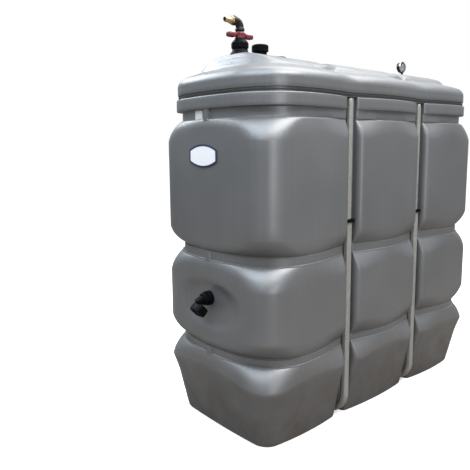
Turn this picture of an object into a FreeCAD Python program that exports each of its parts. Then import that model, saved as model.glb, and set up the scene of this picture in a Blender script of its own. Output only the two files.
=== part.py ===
# Double-walled polyethylene fuel storage tank with galvanised straps and top fittings.
# Millimetres, +Z up. X runs along the tank, the origin is on the floor under its middle.
# The end with the outlet faces -X and the side that is seen most faces -Y.
import FreeCAD, Part
import math
import os

V = FreeCAD.Vector
UP = V(0, 0, 1)

# Container: overall form
BODY_LENGTH = 1630.0
BODY_WIDTH = 724.0
BAY_PITCH = 540.0
WALL = 6.0

# Container: heights of the horizontal bands
LOWER_TOP = 352.0
MIDDLE_BOTTOM = 392.0
MIDDLE_TOP = 766.0
UPPER_BOTTOM = 812.0
UPPER_TOP = 1352.0
RIM_BOTTOM = 1398.0
RIM_TOP = 1450.0
SHOULDER_HEIGHT = 70.0
FOOT_EDGE = 14.0
SHELF_EDGE = 2.0
RIM_EDGE = 4.0

# Grooves and the straps in them
GROOVE_HALF = 35.0
GROOVE_DEPTH = 57.0
STRAP_THICKNESS = 24.0
STRAP_WIDTH = 32.0
UPPER_STRAP_WIDTH = 26.0
STRAP_ROUND = 8.0
STRAP_BEND = 80.0
STRAP_LIFT = 5.0
STRAP_TOP_GAP = 4.0
SEAT_GAP = 0.3
CLIP_HEIGHT = 917.0
CLIP_TALL = 16.0
CLIP_WIDE = 48.0
CLIP_WALL = 6.0
CLIP_BACK = 5.0
CLIP_ROUND = 3.0
UPPER_STRAP_THICKNESS = 20.0

# Joint between the container and the roof
LIP_SETBACK = 8.0
LIP_WIDTH = 12.0
LIP_HEIGHT = 6.0
PLATE_THICKNESS = 5.0
PLATE_SETBACK = 2.0
LEDGE = 30.0
RIB_WIDTH = 30.0
RIB_SETBACK = 4.0
SHOULDER_STEPS = 4
BAY_BOW = 8.0
VALLEY_CORNER = 60.0

# Top fittings, in a row along the middle of the roof
VALVE_X = 195.0 - BODY_LENGTH / 2
FILLER_X = VALVE_X + 117.0
PLUG_X = FILLER_X + 118.0
GAUGE_X = BODY_LENGTH / 2 - 215.0
RUNNING_CLEARANCE = 0.05
FLANGE_RADIUS = 43.0
FLANGE_HEIGHT = 25.0
UNION_HEIGHT = 42.0
UNION_RADIUS = 37.0
SPINDLE_RADIUS = 13.0
HANDLE_SPAN = 140.0
HANDLE_THICK = 22.0
HUB_RADIUS = 21.0
HANDLE_HEIGHT = 30.0
HANDLE_CLEAR = 1.0
ELBOW_RADIUS = 17.0
ELBOW_BEND = 26.0
ELBOW_COLLAR = 13.0
ELBOW_BEAD = 3.0
NIPPLE_BORE = 9.0
NIPPLE_RADIUS = 12.5
NIPPLE_LENGTH = 32.0
HEX_FLATS = 32.0
HEX_LENGTH = 12.0
FILLER_RADIUS = 30.0
FILLER_WALL = 4.0
FILLER_HEIGHT = 48.0
CAP_RADIUS = 37.0
CAP_HEIGHT = 30.0
CAP_TOP = 8.0
CAP_RIBS = 18
UNION_RIBS = 12
PLUG_RADIUS = 32.0
GAUGE_RADIUS = 31.5
GAUGE_DEPTH = 28.0
GAUGE_LIFT = 66.0
GAUGE_LEAN = 10.0
GAUGE_CONE_TOP = 6.5
GAUGE_CONE_HEIGHT = 12.0
GAUGE_PIPE_RADIUS = 4.5
GAUGE_FOOT_RADIUS = 14.0
GAUGE_FOOT_HEIGHT = 4.0
GAUGE_FOOT_Y = -30.0

# End fittings
OUTLET_HEIGHT = 602.0
OUTLET_RADIUS = 27.0
OUTLET_BASE = 8.0
OUTLET_KNOB = 22.0
HOOD_WIDE = 60.0
HOOD_TALL = 56.0
HOOD_LONG = 38.0
HOOD_ROUND = 13.0
HOOD_NECK = 34.0
HOOD_FRAME = 7.0
HOOD_MOUTH = 5.0
HOOD_OUT = 28.0
HOOD_DROP = 55.0
BADGE_HEIGHT = 1206.0
BADGE_WIDE = 184.0
BADGE_TALL = 96.0
BADGE_Y = 13.0
BADGE_RIM = 8.0
BADGE_SIDE = 48.0
BADGE_THICK = 3.0
BADGE_PROUD = 1.0
OVERCUT = 1.0
PLATE_Y = 58.0
PLATE_WIDE = 52.0
PLATE_TALL = 38.0
PLATE_FILM = 1.0

# Outlines: inset of the ends, inset of the sides, corner radius,
# fall of each bay's face towards its grooves, fall of the end face towards its corners,
# rounding into the groove
BODY = (0.0, 0.0, 125.0, 5.0, 1.5, 24.0)
BELT = (9.0, 2.0, 225.0, 28.0, 6.0, 10.0)
NECK = (15.0, 15.0, 215.0, 19.0, 6.0, 10.0)
RIM = (0.0, 0.0, 190.0, 30.0, 7.0, 10.0)
SOLE = (60.0, 60.0, 108.0, 12.0, 6.0, 18.0)
LID = (6.0, 6.0, 185.0, 22.0, 7.0, 10.0)

# Bands that an upright rib crosses at each end: bottom, top, outline
RIB_BANDS = (
    (RIM_BOTTOM - 46.0, RIM_BOTTOM, NECK),
    (MIDDLE_TOP - 6.0, UPPER_BOTTOM + 6.0, BELT),
    (LOWER_TOP - 6.0, MIDDLE_BOTTOM + 6.0, BELT),
)

# Roof: rise above its flange's underside, and inset from the flange's edge
CROWN_LEVELS = ((0.0, 0.0), (46.0, 0.0), (58.0, 5.0), (70.0, 14.0), (87.0, 60.0), (101.0, 100.0))

# Each bay above the valleys: rise, inset of the sides, inset of the tank's end,
# half-width of the valley, corner radius
BAY_LEVELS = (
    (
        (100.0, 102.0, 102.0, 6.0, 90.0),
        (118.0, 130.0, 110.0, 24.0, 85.0),
        (131.0, 160.0, 116.0, 40.0, 80.0),
        (145.0, 205.0, 125.0, 54.0, 70.0),
        (156.0, 255.0, 134.0, 64.0, 55.0),
        (161.0, 290.0, 142.0, 70.0, 45.0),
    ),
    (
        (100.0, 102.0, 102.0, 6.0, 60.0),
        (118.0, 130.0, 110.0, 24.0, 60.0),
        (131.0, 160.0, 116.0, 40.0, 60.0),
        (141.0, 205.0, 125.0, 56.0, 60.0),
        (148.0, 255.0, 134.0, 74.0, 55.0),
        (151.0, 290.0, 142.0, 90.0, 45.0),
    ),
    (
        (100.0, 102.0, 102.0, 6.0, 90.0),
        (118.0, 130.0, 112.0, 24.0, 85.0),
        (131.0, 160.0, 126.0, 40.0, 80.0),
        (141.0, 205.0, 140.0, 56.0, 70.0),
        (148.0, 255.0, 152.0, 74.0, 55.0),
        (151.0, 290.0, 165.0, 90.0, 45.0),
    ),
)


def export(name, shape):
    """Write one piece as parts/NAME.step."""
    shape.exportStep(os.path.join("parts", name + ".step"))


def mix(first, second, share):
    """Blend two outlines, share 0 giving the first."""
    return tuple(a + (b - a) * share for a, b in zip(first, second))


def inset(outline, distance):
    """The same outline moved inwards by a distance."""
    ends, sides, corner, bow, end_bow, lip = outline
    return (ends + distance, sides + distance, max(corner - distance, 20.0), bow, end_bow, lip)


def arc(start, middle, end):
    return Part.Arc(start, middle, end).toShape()


def groove_floor(z):
    """Distance of the groove's floor from the middle plane: upright, then round the bend."""
    upright = BODY_WIDTH / 2 - GROOVE_DEPTH
    drop = STRAP_LIFT + STRAP_THICKNESS + SEAT_GAP + STRAP_BEND - z
    drop = min(max(drop, 0.0), STRAP_BEND)
    return upright - STRAP_BEND + math.sqrt(STRAP_BEND ** 2 - drop ** 2)


def groove_edges(at, edge, lip, z, wall):
    """One groove across the outline, centred on X = at, from its left to its right mouth."""
    half = GROOVE_HALF + wall
    floor = -(groove_floor(z) - wall)
    part = lip * (1 - math.cos(math.pi / 4))
    left = V(at - half, edge + lip, z)
    right = V(at + half, edge + lip, z)
    return [
        arc(V(at - half - lip, edge, z), V(at - half - part, edge + part, z), left),
        Part.makeLine(left, V(at - half, floor, z)),
        Part.makeLine(V(at - half, floor, z), V(at + half, floor, z)),
        Part.makeLine(V(at + half, floor, z), right),
        arc(right, V(at + half + part, edge + part, z), V(at + half + lip, edge, z)),
    ]


def corner_fall(outline, wall=0.0):
    """How far an end bay's face has fallen from its middle where the corner starts."""
    ends, sides, corner, bow, end_bow, lip = inset(outline, wall)
    length = BODY_LENGTH / 2 - ends
    groove = BAY_PITCH / 2
    centre = (length + groove) / 2
    half_bay = centre - groove - GROOVE_HALF - wall - lip
    return bow * min(1.0, ((length - corner - centre) / half_bay) ** 2)


def end_face(outline, y):
    """Distance of an end face from the middle plane at one Y, and its turn there in degrees."""
    ends, sides, corner, bow, end_bow, lip = outline
    reach = BODY_WIDTH / 2 - sides - corner_fall(outline) - corner
    radius = (reach ** 2 + end_bow ** 2) / (2 * end_bow)
    away = radius - math.sqrt(radius ** 2 - y ** 2)
    return BODY_LENGTH / 2 - ends - away, math.degrees(math.asin(y / radius))


def section(outline, z, grooved=True, wall=0.0):
    """Closed outline of the container or the roof at one height: three bowed bays a side."""
    ends, sides, corner, bow, end_bow, lip = inset(outline, wall)
    length = BODY_LENGTH / 2 - ends
    width = BODY_WIDTH / 2 - sides
    groove = BAY_PITCH / 2
    mouth = GROOVE_HALF + wall + lip
    centre = (length + groove) / 2
    corner_x = length - corner
    edge = bow - width
    side = corner_fall(outline, wall) - width
    edges = [arc(V(-corner_x, side, z), V(-centre, -width, z), V(-groove - mouth, edge, z))]
    for at in (-groove, groove):
        if grooved:
            edges += groove_edges(at, edge, lip, z, wall)
        else:
            edges.append(Part.makeLine(V(at - mouth, edge, z), V(at + mouth, edge, z)))
        if at < 0:
            middle = V(0, -width, z)
            edges.append(arc(V(at + mouth, edge, z), middle, V(groove - mouth, edge, z)))
    edges.append(arc(V(groove + mouth, edge, z), V(centre, -width, z), V(corner_x, side, z)))
    bevel = corner * (1 - math.cos(math.pi / 4))
    end = length - end_bow
    near = V(end, side + corner, z)
    far = V(end, -side - corner, z)
    edges.append(arc(V(corner_x, side, z), V(length - bevel, side + bevel, z), near))
    edges.append(arc(near, V(length, 0, z), far))
    edges.append(arc(far, V(length - bevel, -side - bevel, z), V(corner_x, -side, z)))
    half_turn = FreeCAD.Placement(V(0, 0, 0), FreeCAD.Rotation(UP, 180)).toMatrix()
    return Part.Wire(edges + [edge.transformed(half_turn) for edge in edges])


def shoulder(edge_z, body_z, steps):
    """Heights and outlines from a belt's edge out to the full body.

    The faces come out at once and the corners slowly, so the slope dips at each corner.
    """
    levels = []
    for step in range(steps + 1):
        share = step / steps
        face = math.sin(math.pi / 2 * min(1.0, share / 0.45))
        slow = math.sin(math.pi / 2 * share) ** 1.2
        faces = mix(BELT, BODY, face)
        corners = mix(BELT, BODY, slow)
        outline = (faces[0], faces[1], corners[2], corners[3], corners[4], corners[5])
        levels.append((edge_z + (body_z - edge_z) * share ** 1.3, outline))
    return levels


def container_levels(steps):
    """Every height at which the container's outline changes, from the floor to the rim."""
    foot_top = LOWER_TOP - SHOULDER_HEIGHT
    bend_top = STRAP_LIFT + STRAP_THICKNESS + SEAT_GAP + STRAP_BEND
    bend_foot = bend_top - STRAP_BEND
    bend = [bend_foot + share * STRAP_BEND for share in (0.0, 0.14, 0.5)]
    levels = [(0.0, inset(SOLE, FOOT_EDGE / 2))]
    for z in [FOOT_EDGE] + bend + [bend_top]:
        levels.append((z, mix(SOLE, BODY, z / foot_top)))
    levels += reversed(shoulder(LOWER_TOP, foot_top, steps))
    levels += shoulder(MIDDLE_BOTTOM, MIDDLE_BOTTOM + SHOULDER_HEIGHT, steps)
    levels += reversed(shoulder(MIDDLE_TOP, MIDDLE_TOP - SHOULDER_HEIGHT, steps))
    levels += shoulder(UPPER_BOTTOM, UPPER_BOTTOM + SHOULDER_HEIGHT, steps)
    levels += reversed(shoulder(UPPER_TOP, UPPER_TOP - SHOULDER_HEIGHT, steps)[1:])
    levels += [(UPPER_TOP, NECK), (RIM_BOTTOM, NECK), (RIM_BOTTOM + SHELF_EDGE, RIM)]
    levels += [(RIM_TOP - RIM_EDGE, RIM), (RIM_TOP, inset(RIM, RIM_EDGE))]
    return levels


def loft(levels, grooved=True, wall=0.0):
    """Straight-sided solid through the outlines of a list of heights."""
    wires = [section(outline, z, grooved, wall) for z, outline in levels]
    return Part.makeLoft(wires, True, True)


def channel(margin):
    """Room across the underside for one strap, at each groove."""
    height = STRAP_LIFT + STRAP_THICKNESS + SEAT_GAP + margin
    wide = 2 * (GROOVE_HALF + margin)
    boxes = []
    for at in (-BAY_PITCH / 2, BAY_PITCH / 2):
        corner = V(at - wide / 2, -BODY_WIDTH / 2, -1)
        boxes.append(Part.makeBox(wide, BODY_WIDTH, height + 1, corner))
    return boxes


def cavity():
    """Inside of the container: its own outline, one wall further in, with fewer heights."""
    levels = [(WALL, mix(SOLE, BODY, 0.02))]
    bend_top = STRAP_LIFT + STRAP_THICKNESS + SEAT_GAP + STRAP_BEND
    foot_top = LOWER_TOP - SHOULDER_HEIGHT
    for z in (bend_top - 0.86 * STRAP_BEND, bend_top - 0.5 * STRAP_BEND, bend_top):
        levels.append((z, mix(SOLE, BODY, z / foot_top)))
    levels += [(foot_top, BODY), (LOWER_TOP, BELT), (MIDDLE_BOTTOM, BELT)]
    levels += [(MIDDLE_BOTTOM + SHOULDER_HEIGHT, BODY), (MIDDLE_TOP - SHOULDER_HEIGHT, BODY)]
    levels += [(MIDDLE_TOP, BELT), (UPPER_BOTTOM, BELT)]
    levels += [(UPPER_BOTTOM + SHOULDER_HEIGHT, BODY), (UPPER_TOP - SHOULDER_HEIGHT, BODY)]
    levels += [(UPPER_TOP, NECK), (RIM_TOP + LIP_HEIGHT + 1, NECK)]
    hollow = loft(levels, True, WALL)
    for ridge in channel(WALL):
        hollow = hollow.cut(ridge)
    return hollow


def ring(outline, bottom, top, outer, inner):
    """Flat band that follows an outline between two insets."""
    big = loft([(bottom, inset(outline, outer)), (top, inset(outline, outer))], False)
    small = loft([(bottom - 1, inset(outline, inner)), (top + 1, inset(outline, inner))], False)
    return big.cut(small)


def lip(bottom):
    """Narrow band set back from the edge, which makes the dark gap between two flanges."""
    return ring(LID, bottom, bottom + LIP_HEIGHT, LIP_SETBACK, LIP_SETBACK + LIP_WIDTH)


def end_rib(bottom, top, band, turn):
    """Upright moulded rib at the middle of an end, across one of the recessed bands."""
    root = BODY_LENGTH / 2 - band[0] - WALL / 2
    proud = BODY_LENGTH / 2 - RIB_SETBACK
    rib = Part.makeBox(proud - root, RIB_WIDTH, top - bottom, V(root, -RIB_WIDTH / 2, bottom))
    rib.rotate(V(0, 0, 0), UP, turn)
    return rib


def outer_container():
    """Blow-moulded shell, open at the top, with the strap grooves running under it."""
    shell = loft(container_levels(SHOULDER_STEPS))
    for tunnel in channel(0.0):
        shell = shell.cut(tunnel)
    shell = shell.fuse(lip(RIM_TOP))
    for turn in (0, 180):
        for bottom, top, band in RIB_BANDS:
            shell = shell.fuse(end_rib(bottom, top, band, turn))
    return shell.cut(cavity())


def inner_flange():
    """Edge of the inner tank's flange, held between the rim and the roof."""
    bottom = RIM_TOP + LIP_HEIGHT
    return ring(LID, bottom, bottom + PLATE_THICKNESS, PLATE_SETBACK, LEDGE)


def pillow(z, left, right, half_width, left_corner, right_corner):
    """Closed outline of one bay of the roof: a rectangle with bowed sides and round corners."""
    bow = BAY_BOW
    side = half_width - bow
    middle = (left + right) / 2
    a = left_corner * (1 - math.cos(math.pi / 4))
    b = right_corner * (1 - math.cos(math.pi / 4))
    points = [
        (V(left + left_corner, -side, z), V(middle, -half_width, z)),
        (V(right - right_corner, -side, z), V(right - b, b - side, z)),
        (V(right, right_corner - side, z), None),
        (V(right, side - right_corner, z), V(right - b, side - b, z)),
        (V(right - right_corner, side, z), V(middle, half_width, z)),
        (V(left + left_corner, side, z), V(left + a, side - a, z)),
        (V(left, side - left_corner, z), None),
        (V(left, left_corner - side, z), V(left + a, a - side, z)),
    ]
    edges = []
    for index, (start, via) in enumerate(points):
        end = points[(index + 1) % len(points)][0]
        edges.append(arc(start, via, end) if via else Part.makeLine(start, end))
    return Part.Wire(edges)


def bay_crown(bay, shrink):
    """One bay of the roof above the valleys, or its hollow when shrunk by the wall."""
    end = BODY_LENGTH / 2 - LID[0]
    width = BODY_WIDTH / 2 - LID[1]
    groove = BAY_PITCH / 2
    wires = []
    for rise, sides, ends, valley, corner in BAY_LEVELS[bay]:
        left = -end + ends if bay == 0 else -groove + valley
        if bay == 2:
            left = groove + valley
        right = (-groove - valley, groove - valley, end - ends)[bay]
        z = lid_bottom() + rise - shrink
        left += shrink
        right -= shrink
        outer = max(corner - shrink, 10.0)
        inner = max(min(VALLEY_CORNER, corner) - shrink, 10.0)
        corners = ((outer, inner), (inner, inner), (inner, outer))[bay]
        wires.append(pillow(z, left, right, width - sides - shrink, *corners))
    return Part.makeLoft(wires, True, True)


def lid_bottom():
    return RIM_TOP + 2 * LIP_HEIGHT + PLATE_THICKNESS


def roof():
    """Three-bay crown with a flange: valleys between the bays, a flat place for the fittings."""
    bottom = lid_bottom()
    crown = loft([(bottom + rise, inset(LID, back)) for rise, back in CROWN_LEVELS], False)
    hollow = [(bottom - 1, inset(LID, LEDGE))]
    for rise, back in CROWN_LEVELS[1:]:
        hollow.append((bottom + rise - WALL, inset(LID, max(LEDGE, back + WALL))))
    inside = loft(hollow, False)
    for bay in range(3):
        crown = crown.fuse(bay_crown(bay, 0.0))
    for bay in range(3):
        inside = inside.fuse(bay_crown(bay, WALL))
    crown = crown.fuse(lip(bottom - LIP_HEIGHT)).cut(inside)
    bore = Part.makeCylinder(FILLER_RADIUS - FILLER_WALL, 60, V(FILLER_X, 0, plateau() - 50))
    return crown.cut(bore)


def plateau():
    """Height of the flat place on the first bay."""
    return lid_bottom() + BAY_LEVELS[0][-1][0]


def rounded_bar(width, thickness, radius, centre, along):
    """Rounded rectangle across a bar, as a wire round its centre; along is the bar's direction."""
    w = width / 2
    t = thickness / 2
    k = radius * (1 - math.cos(math.pi / 4))
    edges = []
    for sx, sy in ((1, -1), (1, 1), (-1, 1), (-1, -1)):
        corner = [V(sx * (w - radius), sy * t, 0), V(sx * (w - k), sy * (t - k), 0),
                  V(sx * w, sy * (t - radius), 0)]
        if sx * sy > 0:
            corner.reverse()
        edges.append(corner)
    shapes = []
    for index, corner in enumerate(edges):
        shapes.append(arc(*corner))
        shapes.append(Part.makeLine(corner[2], edges[(index + 1) % 4][0]))
    wire = Part.Wire(shapes)
    wire.Placement = FreeCAD.Placement(centre, FreeCAD.Rotation(UP, along))
    return wire


def strap_face():
    """Distance of the straps' inner face from the middle plane."""
    return BODY_WIDTH / 2 - GROOVE_DEPTH + SEAT_GAP


def lower_strap(at):
    """Bent bar: up one groove, round under the tank and up the groove on the other side."""
    centre = strap_face() + STRAP_THICKNESS / 2
    low = STRAP_LIFT + STRAP_THICKNESS / 2
    bend = STRAP_BEND + SEAT_GAP + STRAP_THICKNESS / 2
    top = CLIP_HEIGHT
    flat = centre - bend
    k = bend * math.sin(math.pi / 4)
    path = Part.Wire([
        Part.makeLine(V(at, -centre, top), V(at, -centre, low + bend)),
        arc(V(at, -centre, low + bend), V(at, -flat - k, low + bend - k), V(at, -flat, low)),
        Part.makeLine(V(at, -flat, low), V(at, flat, low)),
        arc(V(at, flat, low), V(at, flat + k, low + bend - k), V(at, centre, low + bend)),
        Part.makeLine(V(at, centre, low + bend), V(at, centre, top)),
    ])
    start = V(at, -centre, top)
    profile = rounded_bar(STRAP_WIDTH, STRAP_THICKNESS, STRAP_ROUND, start, V(0, 0, -1))
    return path.makePipeShell([profile], True, False)


def upper_strap(at, side):
    """Straight bar from the joint to a round end under the roof's flange."""
    top = RIM_TOP - STRAP_TOP_GAP
    half = UPPER_STRAP_WIDTH / 2
    y = -strap_face() - UPPER_STRAP_THICKNESS
    outline = Part.Wire([
        Part.makeLine(V(at - half, y, CLIP_HEIGHT), V(at + half, y, CLIP_HEIGHT)),
        Part.makeLine(V(at + half, y, CLIP_HEIGHT), V(at + half, y, top - half)),
        arc(V(at + half, y, top - half), V(at, y, top), V(at - half, y, top - half)),
        Part.makeLine(V(at - half, y, top - half), V(at - half, y, CLIP_HEIGHT)),
    ])
    bar = Part.Face(outline).extrude(V(0, UPPER_STRAP_THICKNESS, 0))
    front = [edge for edge in bar.Edges if edge.BoundBox.YMax < y + 0.1]
    rim = [edge for edge in front if edge.BoundBox.ZMax > CLIP_HEIGHT + 0.1]
    bar = bar.makeFillet(STRAP_ROUND, rim)
    return mirrored(bar, side)


def mirrored(shape, side):
    """The shape itself for the -Y side, its mirror image for the +Y side."""
    return shape if side < 0 else shape.mirror(V(0, 0, 0), V(0, 1, 0))


def strap_clip(at, side):
    """Sleeve with two side flanges that joins the upper bar to the lower one."""
    y = -strap_face() - STRAP_THICKNESS - CLIP_WALL
    depth = STRAP_THICKNESS + CLIP_WALL - CLIP_BACK
    corner = V(at - CLIP_WIDE / 2, y, CLIP_HEIGHT - CLIP_TALL / 2)
    block = Part.makeBox(CLIP_WIDE, depth, CLIP_TALL, corner)
    upright = [edge for edge in block.Edges if edge.BoundBox.YMax < y + 0.1]
    block = block.makeFillet(CLIP_ROUND, upright)
    slot = STRAP_WIDTH + 2 * SEAT_GAP
    room = V(at - slot / 2, y + CLIP_WALL - SEAT_GAP, CLIP_HEIGHT - CLIP_TALL)
    block = block.cut(Part.makeBox(slot, STRAP_THICKNESS * 2, 2 * CLIP_TALL, room))
    return mirrored(block, side)


def turned(points, x, z):
    """Solid of revolution about the upright line at X = x, from (radius, height) points."""
    profile = [V(0, 0, points[0][1])] + [V(r, 0, h) for r, h in points] + [V(0, 0, points[-1][1])]
    face = Part.Face(Part.makePolygon(profile + profile[:1]))
    solid = face.revolve(V(0, 0, 0), UP, 360)
    solid.translate(V(x, 0, z))
    return solid


def union_top():
    return plateau() + FLANGE_HEIGHT + UNION_HEIGHT


def valve_flange():
    points = ((FLANGE_RADIUS, 0), (FLANGE_RADIUS, 5), (FLANGE_RADIUS - 6, 10),
              (FLANGE_RADIUS - 10, 20), (FLANGE_RADIUS - 10, FLANGE_HEIGHT))
    return turned(points, VALVE_X, plateau())


def valve_union():
    """Barrel-shaped union nut with upright grip ribs."""
    r = UNION_RADIUS
    h = UNION_HEIGHT
    points = ((0.82 * r, 0), (0.93 * r, 0.14 * h), (0.93 * r, 0.62 * h),
              (0.8 * r, 0.84 * h), (0.64 * r, 0.92 * h), (0.64 * r, h))
    nut = turned(points, VALVE_X, plateau() + FLANGE_HEIGHT)
    grip = turned(((0.93 * r, 0), (r, 0.08 * h), (r, 0.4 * h), (0.93 * r, 0.48 * h)), 0, 0)
    for index in range(UNION_RIBS):
        rib = Part.makeBox(2 * r, 4, h, V(0, -2, 0)).common(grip)
        rib.rotate(V(0, 0, 0), UP, index * 360 / UNION_RIBS)
        rib.translate(V(VALVE_X, 0, plateau() + FLANGE_HEIGHT + 0.14 * h))
        nut = nut.fuse(rib)
    return nut


def valve_spindle():
    height = HANDLE_HEIGHT + 2 * HANDLE_CLEAR
    return Part.makeCylinder(SPINDLE_RADIUS, height, V(VALVE_X, 0, union_top()))


def valve_handle():
    """Winged grip: a domed hub and two wings that thicken towards their tips, arched underneath."""
    half = HANDLE_SPAN / 2
    z = union_top() + HANDLE_CLEAR
    h = HANDLE_HEIGHT
    outline = [
        Part.makeLine(V(-half, 0, 0.17 * h), V(-half, 0, 0.72 * h)),
        arc(V(-half, 0, 0.72 * h), V(-0.62 * half, 0, 0.74 * h), V(-0.3 * half, 0, h)),
        Part.makeLine(V(-0.3 * half, 0, h), V(0.3 * half, 0, h)),
        arc(V(0.3 * half, 0, h), V(0.62 * half, 0, 0.74 * h), V(half, 0, 0.72 * h)),
        Part.makeLine(V(half, 0, 0.72 * h), V(half, 0, 0.17 * h)),
        Part.makeLine(V(half, 0, 0.17 * h), V(0.5 * half, 0, 0.17 * h)),
        arc(V(0.5 * half, 0, 0.17 * h), V(0.36 * half, 0, 0.24 * h), V(0.3 * half, 0, 0.42 * h)),
        Part.makeLine(V(0.3 * half, 0, 0.42 * h), V(-0.3 * half, 0, 0.42 * h)),
        arc(V(-0.3 * half, 0, 0.42 * h), V(-0.36 * half, 0, 0.24 * h), V(-0.5 * half, 0, 0.17 * h)),
        Part.makeLine(V(-0.5 * half, 0, 0.17 * h), V(-half, 0, 0.17 * h)),
    ]
    wings = Part.Face(Part.Wire(outline)).extrude(V(0, HANDLE_THICK, 0))
    wings.translate(V(0, -HANDLE_THICK / 2, 0))
    hub = turned(((HUB_RADIUS, 0), (HUB_RADIUS, 0.8 * h), (HUB_RADIUS - 4, h)), 0, 0)
    grip = wings.fuse(hub)
    grip.translate(V(VALVE_X, 0, z))
    bore = Part.makeCylinder(SPINDLE_RADIUS + RUNNING_CLEARANCE, 2 * h, V(VALVE_X, 0, z - h / 2))
    return grip.cut(bore)


def elbow_bottom():
    return union_top() + HANDLE_HEIGHT + 2 * HANDLE_CLEAR


def suction_elbow():
    """Quarter bend with a bead at each mouth, from the spindle round to the -X end."""
    bottom = V(VALVE_X, 0, elbow_bottom())
    turn = bottom + V(0, 0, ELBOW_COLLAR)
    pivot = turn - V(ELBOW_BEND, 0, 0)
    bead = ELBOW_RADIUS + ELBOW_BEAD
    collar = Part.makeCylinder(bead, ELBOW_COLLAR, bottom)
    ring_face = Part.Face(Part.Wire(Part.makeCircle(ELBOW_RADIUS, turn, UP)))
    bend = ring_face.revolve(pivot, V(0, -1, 0), 90)
    mouth = Part.makeCylinder(bead, ELBOW_COLLAR, pivot + V(0, 0, ELBOW_BEND), V(-1, 0, 0))
    return collar.fuse([bend, mouth])


def nipple_root():
    """Middle of the elbow's open face, where the brass nipple seats."""
    return V(VALVE_X - ELBOW_BEND - ELBOW_COLLAR, 0, elbow_bottom() + ELBOW_COLLAR + ELBOW_BEND)


def brass_nipple():
    """Hexagon and plain spigot with one bore right through."""
    root = nipple_root()
    points = []
    for index in range(7):
        angle = math.radians(60 * index)
        radius = HEX_FLATS / 2 / math.cos(math.pi / 6)
        points.append(root + V(0, radius * math.cos(angle), radius * math.sin(angle)))
    nut = Part.Face(Part.makePolygon(points)).extrude(V(-HEX_LENGTH, 0, 0))
    spigot = Part.makeCylinder(NIPPLE_RADIUS, HEX_LENGTH + NIPPLE_LENGTH, root, V(-1, 0, 0))
    long = HEX_LENGTH + NIPPLE_LENGTH + 2 * OVERCUT
    bore = Part.makeCylinder(NIPPLE_BORE, long, root + V(OVERCUT, 0, 0), V(-1, 0, 0))
    return nut.fuse(spigot).cut(bore)


def filler_neck():
    z = plateau()
    pipe = Part.makeCylinder(FILLER_RADIUS, FILLER_HEIGHT, V(FILLER_X, 0, z))
    foot = Part.makeCylinder(FILLER_RADIUS + 5, 6, V(FILLER_X, 0, z))
    bore = Part.makeCylinder(FILLER_RADIUS - FILLER_WALL, FILLER_HEIGHT + 2, V(FILLER_X, 0, z - 1))
    return pipe.fuse(foot).cut(bore)


def cap_bottom():
    return plateau() + FILLER_HEIGHT + SEAT_GAP + CAP_TOP - CAP_HEIGHT


def filler_cap():
    """Screw cap with grip ribs, over the top of the filler neck."""
    z = cap_bottom()
    r = CAP_RADIUS
    body = turned(((r - 2, 0), (r - 2, CAP_HEIGHT - 4), (r - 7, CAP_HEIGHT)), FILLER_X, z)
    for index in range(CAP_RIBS):
        rib = Part.makeBox(6, 5, CAP_HEIGHT - 8, V(r - 6, -2.5, 2))
        rib.rotate(V(0, 0, 0), UP, index * 360 / CAP_RIBS)
        rib.translate(V(FILLER_X, 0, z))
        body = body.fuse(rib)
    room = CAP_HEIGHT - CAP_TOP
    return body.cut(Part.makeCylinder(FILLER_RADIUS + SEAT_GAP, room + 1, V(FILLER_X, 0, z - 1)))


def inspection_plug():
    """Low bung with a wider disc on top and a raised bar across it."""
    r = PLUG_RADIUS
    body = turned(((r - 5, 0), (r - 5, 9), (r, 9), (r, 14), (r - 2, 15)), PLUG_X, plateau())
    bar = Part.makeBox(1.5 * r, 8, 4, V(PLUG_X - 0.75 * r, -4, plateau() + 14))
    return body.fuse(bar)


def gauge_place(shape):
    """Lean a piece built about the gauge's middle back from -Y and set it on its stem."""
    shape.rotate(V(0, 0, 0), V(-1, 0, 0), GAUGE_LEAN)
    shape.translate(V(GAUGE_X, 0, third_bay() + GAUGE_LIFT))
    return shape


def third_bay():
    return lid_bottom() + BAY_LEVELS[2][-1][0]


def disc(radius, back, front):
    """Disc about the -Y axis between two depths, the front being the lower Y."""
    return Part.makeCylinder(radius, back - front, V(0, back, 0), V(0, -1, 0))


def gauge_case():
    half = GAUGE_DEPTH / 2
    case = disc(GAUGE_RADIUS - 2, half, -half).fuse(disc(GAUGE_RADIUS, -half + 7, -half))
    return gauge_place(case.cut(disc(GAUGE_RADIUS - 4, -half + 8, -half - 1)))


def gauge_dial():
    front = -GAUGE_DEPTH / 2 + 6.5
    return gauge_place(disc(GAUGE_RADIUS - 4.3, front + 1.2, front))


def gauge_needle():
    front = -GAUGE_DEPTH / 2 + 6.2
    needle = Part.makeBox(2.4, 1.2, 26, V(-1.2, front - 1.2, -6))
    needle.rotate(V(0, 0, 0), V(0, 1, 0), -50)
    return gauge_place(needle.fuse(disc(3.5, front, front - 1.6)))


def gauge_glass():
    front = -GAUGE_DEPTH / 2 + 1.0
    return gauge_place(disc(GAUGE_RADIUS - 4.3, front + 2.0, front))


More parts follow.
